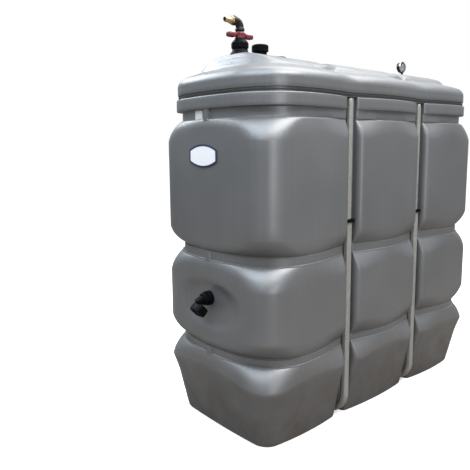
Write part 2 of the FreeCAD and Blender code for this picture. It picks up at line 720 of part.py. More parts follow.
def gauge_stem():
    """Foot on the roof, a slanted pipe, and a cone up to the underside of the case."""
    seat = GAUGE_RADIUS - 2 + SEAT_GAP
    low = seat + GAUGE_CONE_HEIGHT
    cone = Part.makeCone(GAUGE_PIPE_RADIUS, GAUGE_CONE_TOP, GAUGE_CONE_HEIGHT, V(0, 0, -low))
    cone = gauge_place(cone)
    lean = math.radians(GAUGE_LEAN)
    knee = V(GAUGE_X, -low * math.sin(lean), third_bay() + GAUGE_LIFT - low * math.cos(lean))
    foot = V(GAUGE_X, GAUGE_FOOT_Y, third_bay())
    start = foot + V(0, 0, GAUGE_FOOT_HEIGHT / 2)
    pipe = Part.makeCylinder(GAUGE_PIPE_RADIUS, (knee - start).Length, start, knee - start)
    flange = Part.makeCylinder(GAUGE_FOOT_RADIUS, GAUGE_FOOT_HEIGHT, foot)
    stem = flange.fuse([pipe, Part.makeSphere(GAUGE_PIPE_RADIUS, knee), cone])
    room = V(GAUGE_X - BODY_WIDTH / 2, -BODY_WIDTH / 2, third_bay() - BODY_WIDTH)
    return stem.cut(Part.makeBox(BODY_WIDTH, BODY_WIDTH, BODY_WIDTH, room))


def outlet_socket():
    """Round base on the middle section's end."""
    start = V(-BODY_LENGTH / 2, 0, OUTLET_HEIGHT)
    return Part.makeCylinder(OUTLET_RADIUS + 4, OUTLET_BASE, start, V(-1, 0, 0))


def outlet_knob():
    start = V(-BODY_LENGTH / 2 - OUTLET_BASE, 0, OUTLET_HEIGHT)
    return Part.makeCylinder(OUTLET_RADIUS, OUTLET_KNOB, start, V(-1, 0, 0))


def outlet_hood():
    """Rounded box with a framed mouth that looks down and out, hung from the knob by a short neck."""
    face = V(-BODY_LENGTH / 2 - OUTLET_BASE - OUTLET_KNOB, 0, OUTLET_HEIGHT)
    mouth = face + V(-HOOD_OUT, 0, -HOOD_DROP)
    box = Part.makeBox(HOOD_TALL, HOOD_WIDE, HOOD_LONG, V(-HOOD_TALL / 2, -HOOD_WIDE / 2, -HOOD_LONG))
    long = [edge for edge in box.Edges if edge.BoundBox.ZLength > HOOD_LONG / 2]
    box = box.makeFillet(HOOD_ROUND, long)
    deep = V(HOOD_FRAME - HOOD_TALL / 2, HOOD_FRAME - HOOD_WIDE / 2, -HOOD_MOUTH)
    inner = Part.makeBox(HOOD_TALL - 2 * HOOD_FRAME, HOOD_WIDE - 2 * HOOD_FRAME, 2 * HOOD_MOUTH, deep)
    box = box.cut(inner)
    box.rotate(V(0, 0, 0), V(0, 1, 0), 225)
    box.translate(mouth)
    side = [V(0, 0, 16), V(-12, 0, 13), V(-21, 0, -6), V(-20, 0, -34), V(0, 0, -26)]
    side = [face + V(0, -HOOD_NECK / 2, 0) + point for point in side]
    neck = Part.Face(Part.makePolygon(side + side[:1])).extrude(V(0, HOOD_NECK, 0))
    return box.fuse(neck)


def badge_outline(rim):
    """Face with short upright sides and arched long ones, a rim's width inside the badge."""
    x = -BODY_LENGTH / 2
    half = BADGE_WIDE / 2 - rim
    side = BADGE_SIDE / 2 - rim / 2
    top = BADGE_TALL / 2 - rim

    def point(y, z):
        return V(x, BADGE_Y + y, BADGE_HEIGHT + z)

    return Part.Face(Part.Wire([
        arc(point(-half, side), point(0, top), point(half, side)),
        Part.makeLine(point(half, side), point(half, -side)),
        arc(point(half, -side), point(0, -top), point(-half, -side)),
        Part.makeLine(point(-half, -side), point(-half, side)),
    ]))


def badge_plate():
    return badge_outline(BADGE_RIM).extrude(V(-BADGE_THICK, 0, 0))


def badge_border():
    outer = badge_outline(0.0)
    inner = badge_outline(BADGE_RIM - 0.1)
    deep = V(-BADGE_THICK - BADGE_PROUD, 0, 0)
    return outer.extrude(deep).cut(inner.extrude(deep))


def data_plate():
    """Blank film plate on the neck beside the end rib, flat against the bowed end."""
    out, turn = end_face(NECK, PLATE_Y)
    corner = V(-PLATE_FILM, -PLATE_WIDE / 2, -PLATE_TALL / 2)
    plate = Part.makeBox(PLATE_FILM, PLATE_WIDE, PLATE_TALL, corner)
    plate.rotate(V(0, 0, 0), UP, -turn)
    plate.translate(V(-out - SEAT_GAP, PLATE_Y, (UPPER_TOP + RIM_BOTTOM) / 2))
    return plate


PIECES = {
    "outer_container": outer_container,
    "inner_flange": inner_flange,
    "lid": roof,
    "valve_flange": valve_flange,
    "valve_union": valve_union,
    "valve_spindle": valve_spindle,
    "valve_handle": valve_handle,
    "suction_elbow": suction_elbow,
    "brass_nipple": brass_nipple,
    "filler_neck": filler_neck,
    "filler_cap": filler_cap,
    "inspection_plug": inspection_plug,
    "gauge_stem": gauge_stem,
    "gauge_case": gauge_case,
    "gauge_dial": gauge_dial,
    "gauge_needle": gauge_needle,
    "gauge_glass": gauge_glass,
    "outlet_socket": outlet_socket,
    "outlet_knob": outlet_knob,
    "outlet_hood": outlet_hood,
    "badge_plate": badge_plate,
    "badge_border": badge_border,
    "data_plate": data_plate,
}


def main():
    os.makedirs("parts", exist_ok=True)
    for name, make in PIECES.items():
        export(name, make())
    for place, at in (("left", -BAY_PITCH / 2), ("right", BAY_PITCH / 2)):
        export("strap_" + place + "_lower", lower_strap(at))
        for face, side in (("front", -1), ("rear", 1)):
            export("strap_" + place + "_" + face, upper_strap(at, side))
            export("clip_" + place + "_" + face, strap_clip(at, side))


main()
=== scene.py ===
import math

import bpy
import numpy as np
from mathutils import Matrix, Vector


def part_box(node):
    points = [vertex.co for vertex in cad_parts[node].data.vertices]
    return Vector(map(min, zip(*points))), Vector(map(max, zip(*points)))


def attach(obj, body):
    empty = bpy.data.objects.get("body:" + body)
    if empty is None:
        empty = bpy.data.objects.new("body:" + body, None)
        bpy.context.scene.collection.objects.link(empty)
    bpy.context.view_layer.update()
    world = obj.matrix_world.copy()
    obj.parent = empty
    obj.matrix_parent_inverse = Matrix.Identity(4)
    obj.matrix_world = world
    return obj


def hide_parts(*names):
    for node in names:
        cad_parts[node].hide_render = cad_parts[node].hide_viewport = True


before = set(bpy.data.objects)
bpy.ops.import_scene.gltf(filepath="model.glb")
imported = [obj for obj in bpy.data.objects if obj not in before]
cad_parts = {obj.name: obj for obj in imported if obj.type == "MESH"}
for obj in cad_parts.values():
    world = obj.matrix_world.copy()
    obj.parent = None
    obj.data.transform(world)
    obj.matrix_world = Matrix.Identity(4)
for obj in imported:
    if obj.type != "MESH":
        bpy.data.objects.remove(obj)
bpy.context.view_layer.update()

MM = 0.001


def node_box(node):
    """Lowest and highest corner of a frame node, in millimetres."""
    low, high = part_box(node)
    return np.array(low) / MM, np.array(high) / MM


# Container: overall form
HALF_LENGTH, HALF_WIDTH = node_box("outer_container")[1][:2]
GROOVE_AT = 270.0
WALL = 6.0

# Container: heights of the horizontal bands
LOWER_TOP = 352.0
MIDDLE_BOTTOM = 392.0
MIDDLE_TOP = 766.0
UPPER_BOTTOM = 812.0
UPPER_TOP = 1352.0
RIM_BOTTOM = 1398.0
RIM_TOP = 1450.0
SHOULDER_HEIGHT = 50.0
NECK_EDGE = 1.5
NECK_FOOT = 8.0
FOOT_EDGE = 11.0

# Shoulders: the shares of their height in which the faces reach the full body and the corners
# sweep through an arc, and how the height follows
FACE_SHARE = 0.6
CORNER_SWEEP = math.radians(78)
HEIGHT_POWER = 1.15

# Shoulders: their dips at the corners and beside the grooves
SHOULDER_DIP = 40.0
UNDER_RISE = 24.0
CORNER_MIDDLE = 60.0
DIP_SPREAD = 200.0
GROOVE_DIP_SHARE = 0.62
GROOVE_DIP_FROM = 45.0
GROOVE_DIP_SPREAD = 95.0

# Belts and shoulders drawn in towards the grooves
PILLOW_PULL = 18.0
PILLOW_FROM = 25.0
PILLOW_SPREAD = 120.0
PILLOW_LEAST = 0.22

# Outlines: inset of the ends, inset of the sides, corner radius, fall of each bay's face
# towards its grooves, fall of the end face towards its corners, rounding into the groove
BODY = np.array([0.0, 0.0, 125.0, 5.0, 3.0, 32.0])
BELT = np.array([11.0, 4.0, 228.0, 34.0, 12.0, 10.0])
BELT_EDGE = np.array([6.0, 0.4, 221.0, 30.0, 11.0, 10.0])
NECK = np.array([15.0, 15.0, 226.0, 19.0, 7.0, 10.0])
RIM = np.array([0.0, 0.0, 206.0, 30.0, 9.0, 10.0])
SOLE = np.array([60.0, 60.0, 76.0, 12.0, 6.0, 18.0])
LID = np.array([6.0, 6.0, 203.0, 22.0, 9.0, 10.0])
LEAST_CORNER = 20.0

# Grooves, and the straps in them
GROOVE_HALF = 35.0
GROOVE_DEPTH = 57.0
GROOVE_ROUND = 8.0
STRAP_LIFT = 5.0
STRAP_THICKNESS = 24.0
STRAP_WIDTH = 32.0
UPPER_STRAP_WIDTH = 26.0
UPPER_STRAP_THICKNESS = 20.0
SEAT_GAP = 0.3
STRAP_BEND = 80.0
BAR_ROUND = 7.0
FLUTE_TURNS = 3.2
CHANNEL_TOP = STRAP_LIFT + STRAP_THICKNESS + SEAT_GAP
STRAP_FACE = HALF_WIDTH - GROOVE_DEPTH + SEAT_GAP

# Upright ribs at the middle of each end
RIB_HALF = 15.0
RIB_DRAFT = 3.0
RIB_SETBACK = 4.0
RIB_DOWN = 4.0
RIB_SHORT = 6.5
RIB_BANDS = (
    (LOWER_TOP - RIB_DOWN, MIDDLE_BOTTOM - RIB_SHORT),
    (MIDDLE_TOP - RIB_DOWN, UPPER_BOTTOM - RIB_SHORT),
    (UPPER_TOP - RIB_DOWN, RIM_BOTTOM),
)

# Recessed panel round the outlet
DISH_HEIGHT = 574.0
DISH_HALF_WIDE = 236.0
DISH_HALF_TALL = 118.0
DISH_DEPTH = 14.0
DISH_SLOPE = 0.38

# Roof
LID_BOTTOM = RIM_TOP + 17.0
LIP_HEIGHT = 6.0
LIP_SETBACK = 8.0
LIP_WIDTH = 12.0
LEDGE = 30.0
FLANGE_TALL = 38.0
EAVE_ROUND = 30.0
EAVE_SHARE = 0.45
CROWN_INSET = 100.0
CROWN_RISE = 101.0
NEAR_CROWN = 62.0
OTHER_CROWNS = 52.0

# The crown's slopes: distances in from a side, an end or a valley, and the height at each. The
# near end goes up in three steps, where the fittings stand
SIDE_SLOPE = (100, 130, 160, 205, 255, 290, 356), (0, 17, 30, 44, 55, 61, 70)
NEAR_END_SLOPE = (100, 106, 115, 122, 130, 141, 150), (0, 15, 17, 35, 38, 60, 66)
FAR_END_SLOPE = (100, 112, 126, 140, 152, 165, 185), (0, 16, 29, 39, 46, 50, 56)
VALLEY_SLOPE = (0, 6, 24, 40, 54, 64, 80, 110), (0, 3, 18, 31, 44, 54, 62, 70)


# Meshes

def numbers(rows, columns):
    return np.arange(rows * columns).reshape(rows, columns)


def quads(grid):
    """Quads between neighbouring rows of point numbers, with the last column joined to the first."""
    grid = np.hstack([grid, grid[:, :1]])
    return np.stack([grid[:-1, :-1], grid[:-1, 1:], grid[1:, 1:], grid[1:, :-1]], -1).reshape(-1, 4)


def outward(points, faces):
    """A closed surface with its faces turned outwards: its signed volume, the sum of
    a . (b x c) over a fan of triangles in each face, has to be above zero."""
    volume = 0.0
    for group in faces:
        for k in range(1, group.shape[1] - 1):
            a, b, c = points[group[:, 0]], points[group[:, k]], points[group[:, k + 1]]
            volume += (a * np.cross(b, c)).sum()
    return points, faces if volume > 0 else [group[:, ::-1] for group in faces]


def sheet(points):
    """A grid of points closed round its columns, whose end rows are each drawn to a line or point."""
    return outward(points.reshape(-1, 3), [quads(numbers(*points.shape[:2]))])


def closed_sheet(points):
    """A grid closed round its columns, with each end row closed by one polygon."""
    grid = numbers(*points.shape[:2])
    return outward(points.reshape(-1, 3), [quads(grid), grid[:1, ::-1], grid[-1:]])


def joined(*parts):
    """Several (points, faces) as one."""
    points, faces, start = [], [], 0
    for part_points, part_faces in parts:
        points.append(part_points)
        faces += [group + start for group in part_faces]
        start += len(part_points)
    return np.vstack(points), faces


def welded(points, faces):
    """Points that share a place to a hundredth of a millimetre become one, and corners that
    fall together leave a triangle or nothing."""
    hundredths = np.round(points * 100)
    first, number = np.unique(hundredths, axis=0, return_index=True, return_inverse=True)[1:]
    number = number.reshape(-1)
    kept = []
    for group in faces:
        group = number[group]
        if group.shape[1] != 4:
            kept += group.tolist()
            continue
        same = group == np.roll(group, -1, axis=1)
        kept += group[same.sum(1) == 0].tolist()
        for corner in range(4):
            single = group[same[:, corner] & (same.sum(1) == 1)]
            kept += np.delete(single, corner, axis=1).tolist()
    return points[first], kept


def piece(name, shape, finish, slot, replaces, body="tank", crease=38.0):
    """A finished object in metres: welded, closed, smooth except at edges sharper than crease."""
    points, faces = welded(*shape)
    mesh = bpy.data.meshes.new(name)
    mesh.from_pydata((points * MM).tolist(), [], faces)
    mesh.shade_smooth()
    mesh.set_sharp_from_angle(angle=math.radians(crease))
    mesh.materials.append(finish)
    thing = bpy.data.objects.new(name, mesh)
    bpy.context.scene.collection.objects.link(thing)
    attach(thing, body)
    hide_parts(*replaces)
    return thing


def bevelled(thing, width):
    """Round a piece's sharp edges by a width in millimetres."""
    rounding = thing.modifiers.new("edge rounding", "BEVEL")
    rounding.width = width * MM
    rounding.segments = 3
    rounding.limit_method = "ANGLE"
    rounding.angle_limit = math.radians(35)
    rounding.harden_normals = True


# Handle of a cubic that follows a quarter circle, as a share of its radius
QUARTER = 0.5523


def bezier(start, leave, arrive, end, handle, steps):
    """Cubic curve from start to end, leaving and arriving along the two directions.

    The point at t is (1-t)^3 start + 3(1-t)^2 t (start + handle leave)
    + 3(1-t) t^2 (end - handle arrive) + t^3 end, for the t after 0.
    """
    t = np.linspace(0, 1, steps + 1)[1:][None, :, None]
    leave = leave / np.linalg.norm(leave, axis=-1, keepdims=True)
    arrive = arrive / np.linalg.norm(arrive, axis=-1, keepdims=True)
    first = start + handle * leave
    second = end - handle * arrive
    left = 1 - t
    return left ** 3 * start + 3 * left ** 2 * t * first + 3 * left * t ** 2 * second + t ** 3 * end


def plane_points(x, y):
    return np.stack(np.broadcast_arrays(x, y), -1)


# Container and roof outlines

def groove_floor(z):
    """Distance of the groove's floor from the middle plane: upright, then round the bend."""
    drop = np.clip(CHANNEL_TOP + STRAP_BEND - z, 0.0, STRAP_BEND)
    return HALF_WIDTH - GROOVE_DEPTH - STRAP_BEND + np.sqrt(STRAP_BEND ** 2 - drop ** 2)


def groove_columns(z, width, bow, lip, wall, outer_half, inner_half):
    """Across one groove from its outer mouth to its inner one: a rounding, a wall, a cove,
    the floor, and the same again, at X from GROOVE_AT + half + lip down to GROOVE_AT - half - lip."""
    half = GROOVE_HALF + wall
    edge = width - bow
    floor = groove_floor(z) - wall
    down = np.array([0.0, -1.0])
    sides = []
    for turn, reach in ((1, outer_half), (-1, inner_half)):
        mouth = plane_points(GROOVE_AT + turn * (half + lip), edge)
        brink = plane_points(GROOVE_AT + turn * half, edge - lip)
        slope = plane_points(-turn, -2 * bow / reach)
        rounding = bezier(mouth, slope, down, brink, QUARTER * lip[..., None], 6)
        t = np.linspace(0, 1, 4)[1:]
        straight = edge - lip + (floor + GROOVE_ROUND - edge + lip) * t
        wall_line = plane_points(GROOVE_AT + turn * half, straight)
        angle = np.linspace(0, math.pi / 2, 5)[1:]
        cove = plane_points(GROOVE_AT + turn * (half - GROOVE_ROUND * (1 - np.cos(angle))),
                            floor + GROOVE_ROUND * (1 - np.sin(angle)))
        sides.append(np.concatenate([rounding, wall_line, cove], axis=1))
    middle = plane_points(GROOVE_AT, floor)
    last = plane_points(GROOVE_AT - half - lip, edge)
    return np.concatenate([sides[0], middle, sides[1][:, ::-1], last], axis=1)


def notch_columns(width, bow, lip, wall, outer_half, inner_half):
    """Where an outline has no groove, one smooth shallow curve joins the two bays."""
    half = GROOVE_HALF + wall + lip
    start = plane_points(GROOVE_AT + half, width - bow)
    end = plane_points(GROOVE_AT - half, width - bow)
    leave = plane_points(-1, -2 * bow / outer_half)
    arrive = plane_points(-1, 2 * bow / inner_half)
    return bezier(start, leave, arrive, end, half[..., None] * 0.7, 10)


def outline_rings(z, outlines, wall, grooved=True, ends=12, corners=22, faces=18):
    """Closed ring of points at each height, as rows by columns, a wall's thickness inside the
    outlines.

    A quarter runs from the middle of the end to the middle of the side. The end face is
    length - end_bow t^2, the corner a tangent cubic, and each bay's face
    width - bow (distance from the bay's middle / half the bay)^2. The quarter is then
    mirrored in both directions.
    """
    z = np.asarray(z, float)[:, None]
    end_in, side_in, corner, bow, end_bow, lip = np.asarray(outlines).T[..., None]
    length = HALF_LENGTH - end_in - wall
    width = HALF_WIDTH - side_in - wall
    corner = np.maximum(corner - wall, LEAST_CORNER)
    mouth = GROOVE_HALF + wall + lip
    centre = (length + GROOVE_AT) / 2
    outer_half = centre - GROOVE_AT - mouth
    inner_half = GROOVE_AT - mouth
    corner = np.minimum(corner, 0.94 * (width - bow))
    corner_x = length - corner
    fall = bow * np.minimum(1.0, ((corner_x - centre) / outer_half) ** 2)
    reach = width - fall - corner
    rib = np.minimum(RIB_HALF, 0.3 * reach)
    near = rib * np.array([0.0, 0.4, 0.8, 1.0])
    far = rib + (reach - rib) * np.linspace(0, 1, ends + 1)[1:]
    y = np.concatenate([near, far], axis=1)
    end = plane_points(length - end_bow * (y / reach) ** 2, y)
    start = plane_points(length - end_bow, reach)
    stop = plane_points(corner_x, width - fall)
    leave = plane_points(-2 * end_bow / reach, 1)
    arrive = plane_points(-1, 2 * bow * (corner_x - centre) / outer_half ** 2)
    turn = bezier(start, leave, arrive, stop, QUARTER * corner[..., None], corners)
    t = np.linspace(0, 1, faces + 1)[1:]
    x = corner_x + (GROOVE_AT + mouth - corner_x) * t
    outer = plane_points(x, width - bow * ((x - centre) / outer_half) ** 2)
    if grooved:
        across = groove_columns(z, width, bow, lip, wall, outer_half, inner_half)
    else:
        across = notch_columns(width, bow, lip, wall, outer_half, inner_half)
    x = inner_half * (1 - t)
    inner = plane_points(x, width - bow * (x / inner_half) ** 2)
    quarter = np.concatenate([end, turn, outer, across, inner], axis=1)
    left = (quarter * (-1, 1))[:, ::-1][:, 1:]
    half = np.concatenate([quarter, left], axis=1)
    ring = np.concatenate([half, (half * (1, -1))[:, ::-1][:, 1:-1]], axis=1)
    return np.dstack([ring, np.broadcast_to(z, ring.shape[:2])])


def grown(outline, distance):
    """An outline moved inwards by a distance, or outwards if it is negative."""
    moved = outline + np.array([distance, distance, -distance, 0, 0, 0])
    moved[2] = max(moved[2], LEAST_CORNER)
    return moved


def mix(first, second, share):
    return first + (second - first) * share


def shoulder(edge_z, body_z, edge, steps=18):
    """Rows from a belt's edge out to the full body.

    The share s runs from 0 to 1. The faces follow sin(90 s / FACE_SHARE) and the corners
    sin(CORNER_SWEEP s) / sin(CORNER_SWEEP) while the height follows s^HEIGHT_POWER, so the
    corners end in a soft crease.
    """
    rows = []
    for share in np.linspace(0, 1, steps + 1):
        face = math.sin(math.pi / 2 * min(1.0, share / FACE_SHARE))
        slow = math.sin(CORNER_SWEEP * share) / math.sin(CORNER_SWEEP)
        outline = mix(edge, BODY, slow)
        outline[:2] = mix(edge, BODY, face)[:2]
        rows.append((edge_z + (body_z - edge_z) * share ** HEIGHT_POWER, outline))
    return rows


def section_rows(bottom, top, steps):
    """One bulged section: out from the belt under it, straight up, and in to the belt above."""
    low, high = bottom + SHOULDER_HEIGHT, top - SHOULDER_HEIGHT
    straight = [(z, BODY) for z in np.linspace(low, high, steps)[1:-1]]
    return shoulder(bottom, low, BELT) + straight + shoulder(top, high, BELT_EDGE)[::-1]


def foot_rows():
    """From the sole's rounded edge up the taper to where the first shoulder starts."""
    top = LOWER_TOP - SHOULDER_HEIGHT
    rows = []
    for angle in np.linspace(0, math.pi / 2, 6):
        z = FOOT_EDGE * (1 - math.cos(angle))
        rows.append((z, grown(mix(SOLE, BODY, z / top), FOOT_EDGE * (1 - math.sin(angle)))))
    heights = (CHANNEL_TOP, 34, 42, 52, 64, 78, 94, CHANNEL_TOP + STRAP_BEND, 150, 190, 230, 256, 272)
    rows += [(z, mix(SOLE, BODY, z / top)) for z in heights]
    return rows


def band_rows(bottom, top):
    """A belt between two sections: a small ledge at its foot, and a crease under the section
    above."""
    crease = grown(BELT, 3.5)
    return [
        (bottom + 4.5, BELT_EDGE), (bottom + 5.6, mix(BELT_EDGE, BELT, 0.25)), (bottom + 6.0, BELT),
        ((bottom + top) / 2, BELT), (top - 7.0, BELT), (top - 6.2, crease), (top - 3.0, crease),
    ]


def rim_rows():
    """Neck, shelf under the rim, rim, and its rounded top edge."""
    return [
        (UPPER_TOP + NECK_EDGE, mix(BELT_EDGE, NECK, 0.10)), (UPPER_TOP + 4.0, mix(BELT_EDGE, NECK, 0.55)),
        (UPPER_TOP + 5.0, mix(BELT_EDGE, NECK, 0.93)), (UPPER_TOP + NECK_FOOT, NECK),
        (UPPER_TOP + 24.0, NECK), (RIM_BOTTOM - 2.5, NECK), (RIM_BOTTOM, mix(NECK, RIM, 0.2)),
        (RIM_BOTTOM, grown(RIM, 2.6)), (RIM_BOTTOM + 0.8, grown(RIM, 0.9)), (RIM_BOTTOM + 3.0, RIM),
        (RIM_BOTTOM + 14.0, RIM), (RIM_TOP - 20.0, RIM),
        (RIM_TOP - 5.0, RIM), (RIM_TOP - 2.2, grown(RIM, 0.7)), (RIM_TOP - 0.7, grown(RIM, 2.2)),
        (RIM_TOP, grown(RIM, 4.5)),
    ]


def inner_rows():
    """Inside face of the wall, from the rim down to the inner floor. The section with the
    recessed panel has more rows than the others."""
    half, full = SHOULDER_HEIGHT / 2, 1.4 * SHOULDER_HEIGHT
    between = mix(BELT, BODY, 0.55)
    rows = [(RIM_TOP, NECK), (UPPER_TOP, NECK)]
    for low, high in ((UPPER_BOTTOM, UPPER_TOP), (MIDDLE_BOTTOM, MIDDLE_TOP)):
        steps = 14 if low < DISH_HEIGHT < high else 2
        rows += [(high - 8, BELT), (high - half, between)]
        rows += [(z, BODY) for z in np.linspace(high - full, low + full, steps)]
        rows += [(low + half, between), (low + 4, BELT)]
    rows += [(LOWER_TOP - 8, BELT), (LOWER_TOP - half, between)]
    taper = LOWER_TOP - SHOULDER_HEIGHT
    heights = (taper - 24, 160.0, CHANNEL_TOP + STRAP_BEND, 76.0, 52.0, 38.0)
    return rows + [(z, mix(SOLE, BODY, z / taper)) for z in heights]


def band_weight(z, bands):
    """1 inside each band of heights, 0 outside."""
    inside = np.zeros_like(z)
    for low, high in bands:
        inside = np.maximum(inside, ((z >= low) & (z <= high)).astype(float))
    return inside


def end_dish(points):
    """Push the outlet's end in at its recessed panel: DISH_DEPTH (3 t^2 - 2 t^3), where t runs
    from 0 at the ellipse r = 1 to 1 at r = 1 - DISH_SLOPE."""
    x, y, z = points[..., 0], points[..., 1], points[..., 2]
    across = np.sqrt((y / DISH_HALF_WIDE) ** 2 + ((z - DISH_HEIGHT) / DISH_HALF_TALL) ** 2)
    t = np.clip((1 - across) / DISH_SLOPE, 0, 1)
    dip = DISH_DEPTH * t * t * (3 - 2 * t) * (x < -HALF_LENGTH / 2)
    return points + dip[..., None] * (1, 0, 0)


def end_ribs(points):
    """Push the end faces out into the upright ribs."""
    x, y, z = points[..., 0], points[..., 1], points[..., 2]
    out = np.abs(x)
    rib = np.clip((RIB_HALF - np.abs(y)) / RIB_DRAFT, 0, 1) * band_weight(z, RIB_BANDS)
    target = HALF_LENGTH - RIB_SETBACK
    moved = (rib > 0) & (out < target) & (out > HALF_LENGTH / 2)
    out = np.where(moved, out + (target - out) * rib, out)
    points = points.copy()
    points[..., 0] = np.sign(x) * out
    return points


def ring_band(outline, bottom, top, outer, inner):
    """Flat band between two insets of an outline, closed round its own section."""
    z = [bottom, top, top, bottom, bottom]
    lines = [grown(outline, d) for d in (outer, outer, inner, inner, outer)]
    return sheet(outline_rings(z, lines, 0.0, grooved=False))


def fading(distance, width):
    """A share that falls from 1 with a distance d, as (1 + (d / width)^2)^-1.5."""
    return (1 + (distance / width) ** 2) ** -1.5


def corner_dips(points):
    """Draw the shoulders' edges away from the belts towards the corners, in long curves.

    Points under a belt sink by SHOULDER_DIP w and points above one rise by UNDER_RISE w. Here w
    fades with the distance in plan from the corner's middle, plus a smaller share that fades
    from a line beside each groove, and is multiplied by one that grows from 0 at the belt to 1
    over SHOULDER_HEIGHT and falls back to 0 over twice as much.
    """
    x, y, z = np.abs(points[..., 0]), np.abs(points[..., 1]), points[..., 2]
    far = np.hypot(x - HALF_LENGTH + CORNER_MIDDLE, y - HALF_WIDTH + CORNER_MIDDLE)
    beside = np.abs(np.abs(x - GROOVE_AT) - GROOVE_HALF - GROOVE_DIP_FROM)
    near = fading(far, DIP_SPREAD) + GROOVE_DIP_SHARE * fading(beside, GROOVE_DIP_SPREAD)
    move = np.zeros_like(z)
    edges = [(z_edge, -1, SHOULDER_DIP) for z_edge in (LOWER_TOP, MIDDLE_TOP, UPPER_TOP)]
    edges += [(z_edge, 1, UNDER_RISE) for z_edge in (MIDDLE_BOTTOM, UPPER_BOTTOM)]
    for edge, way, reach in edges:
        depth = way * (z - edge) / SHOULDER_HEIGHT
        move += way * reach * np.clip(np.minimum(depth, 1.5 - depth / 2), 0, 1)
    return points + (move * near)[..., None] * (0, 0, 1)


def groove_pillows(points):
    """Draw the belts and the shoulders beside them in towards the grooves, as on a pillow's
    corners.

    The pull is PILLOW_PULL u v. Along the face, u fades from 1 at a line beside the groove to
    PILLOW_LEAST, and v is 1 on a belt and (1 - s)^2 at a share s of the shoulder's height away
    from it. The grooves' floors stay where they are.
    """
    x, y, z = np.abs(points[..., 0]), np.abs(points[..., 1]), points[..., 2]
    beside = np.abs(np.abs(x - GROOVE_AT) - GROOVE_HALF - PILLOW_FROM)
    along = PILLOW_LEAST + (1 - PILLOW_LEAST) * fading(beside, PILLOW_SPREAD)
    height = np.zeros_like(z)
    neck = UPPER_TOP + NECK_EDGE
    for low, high in ((LOWER_TOP, MIDDLE_BOTTOM), (MIDDLE_TOP, UPPER_BOTTOM), (UPPER_TOP, neck)):
        away = np.maximum(low - z, z - high) / SHOULDER_HEIGHT
        height = np.maximum(height, (1 - np.clip(away, 0, 1)) ** 2)
    height *= np.clip((UPPER_TOP + NECK_FOOT - z) / (NECK_FOOT - NECK_EDGE), 0, 1)
    out = np.clip((y - (HALF_WIDTH - GROOVE_DEPTH)) / GROOVE_DEPTH, 0, 1)
    pull = PILLOW_PULL * along * height * out
    return points - (np.sign(points[..., 1]) * pull)[..., None] * (0, 1, 0)


def relief(points):
    """What outer skin and lining share: pillows beside the grooves, dips, and the panel."""
    return end_dish(corner_dips(groove_pillows(points)))


def container_shape():
    """Outer skin, rim and inner skin in one closed shell, with two channels under it for the
    straps, and the lip on its rim."""
    rows = foot_rows() + shoulder(LOWER_TOP, LOWER_TOP - SHOULDER_HEIGHT, BELT_EDGE)[::-1]
    rows += band_rows(LOWER_TOP, MIDDLE_BOTTOM) + section_rows(MIDDLE_BOTTOM, MIDDLE_TOP, 19)
    rows += band_rows(MIDDLE_TOP, UPPER_BOTTOM) + section_rows(UPPER_BOTTOM, UPPER_TOP, 9)
    heights, lines = zip(*(rows + rim_rows()))
    outer = end_ribs(relief(outline_rings(heights, lines, 0.0)))
    lining = relief(outline_rings(*zip(*inner_rows()), WALL))
    first = int(np.argmax(np.array(heights) >= CHANNEL_TOP))
    skin = np.concatenate([outer[first:], lining])
    grid = numbers(*skin.shape[:2])
    shell = (skin.reshape(-1, 3), [quads(grid), grid[-1:]])
    return joined(shell, *feet(outer[:first + 1]), lip_ring(RIM_TOP))


def lip_ring(bottom):
    """Low ring on the rim or under the roof."""
    return ring_band(LID, bottom, bottom + LIP_HEIGHT, LIP_SETBACK, LIP_SETBACK + LIP_WIDTH)


def feet(rows):
    """The three feet under the channels' roof, and that roof.

    Each foot is a run of the ring's columns, closed by a straight wall along each channel.
    """
    ring = rows[-1]
    count = len(ring)
    near = 0.01
    brink_y = groove_floor(CHANNEL_TOP) + GROOVE_ROUND
    in_channel = np.abs(np.abs(ring[:, 0]) - GROOVE_AT) <= GROOVE_HALF + near
    deep = in_channel & (np.abs(ring[:, 1]) <= brink_y + near)
    brink = deep & (np.abs(ring[:, 1]) >= brink_y - near)
    parts = []
    for low, high, first in ((-HALF_LENGTH, -GROOVE_AT, 0), (-GROOVE_AT, GROOVE_AT, 0),
                             (GROOVE_AT, HALF_LENGTH, count // 2)):
        inside = (ring[:, 0] >= low) & (ring[:, 0] <= high)
        chosen = np.flatnonzero(inside & (~deep | brink))
        chosen = chosen[np.argsort((chosen + first) % count)]
        parts.append(closed_foot(rows[:, chosen]))
    for at in (-GROOVE_AT, GROOVE_AT):
        loop = np.flatnonzero(deep & (np.abs(ring[:, 0] - at) <= GROOVE_HALF + near))
        parts.append((ring[loop], [np.arange(len(loop))[None, ::-1]]))
    return parts


def closed_foot(rows):
    """Rows of one foot with a flat sole; the top row is shared with the shell above."""
    grid = numbers(*rows.shape[:2])
    return rows.reshape(-1, 3), [quads(grid), grid[:1, ::-1]]


# Roof

def soft_least(values, softness):
    """Smooth lower envelope: -k log(sum of exp(-value / k))."""
    stack = np.stack(np.broadcast_arrays(*values))
    least = stack.min(0)
    return least - softness * np.log(np.exp(-(stack - least) / softness).sum(0))


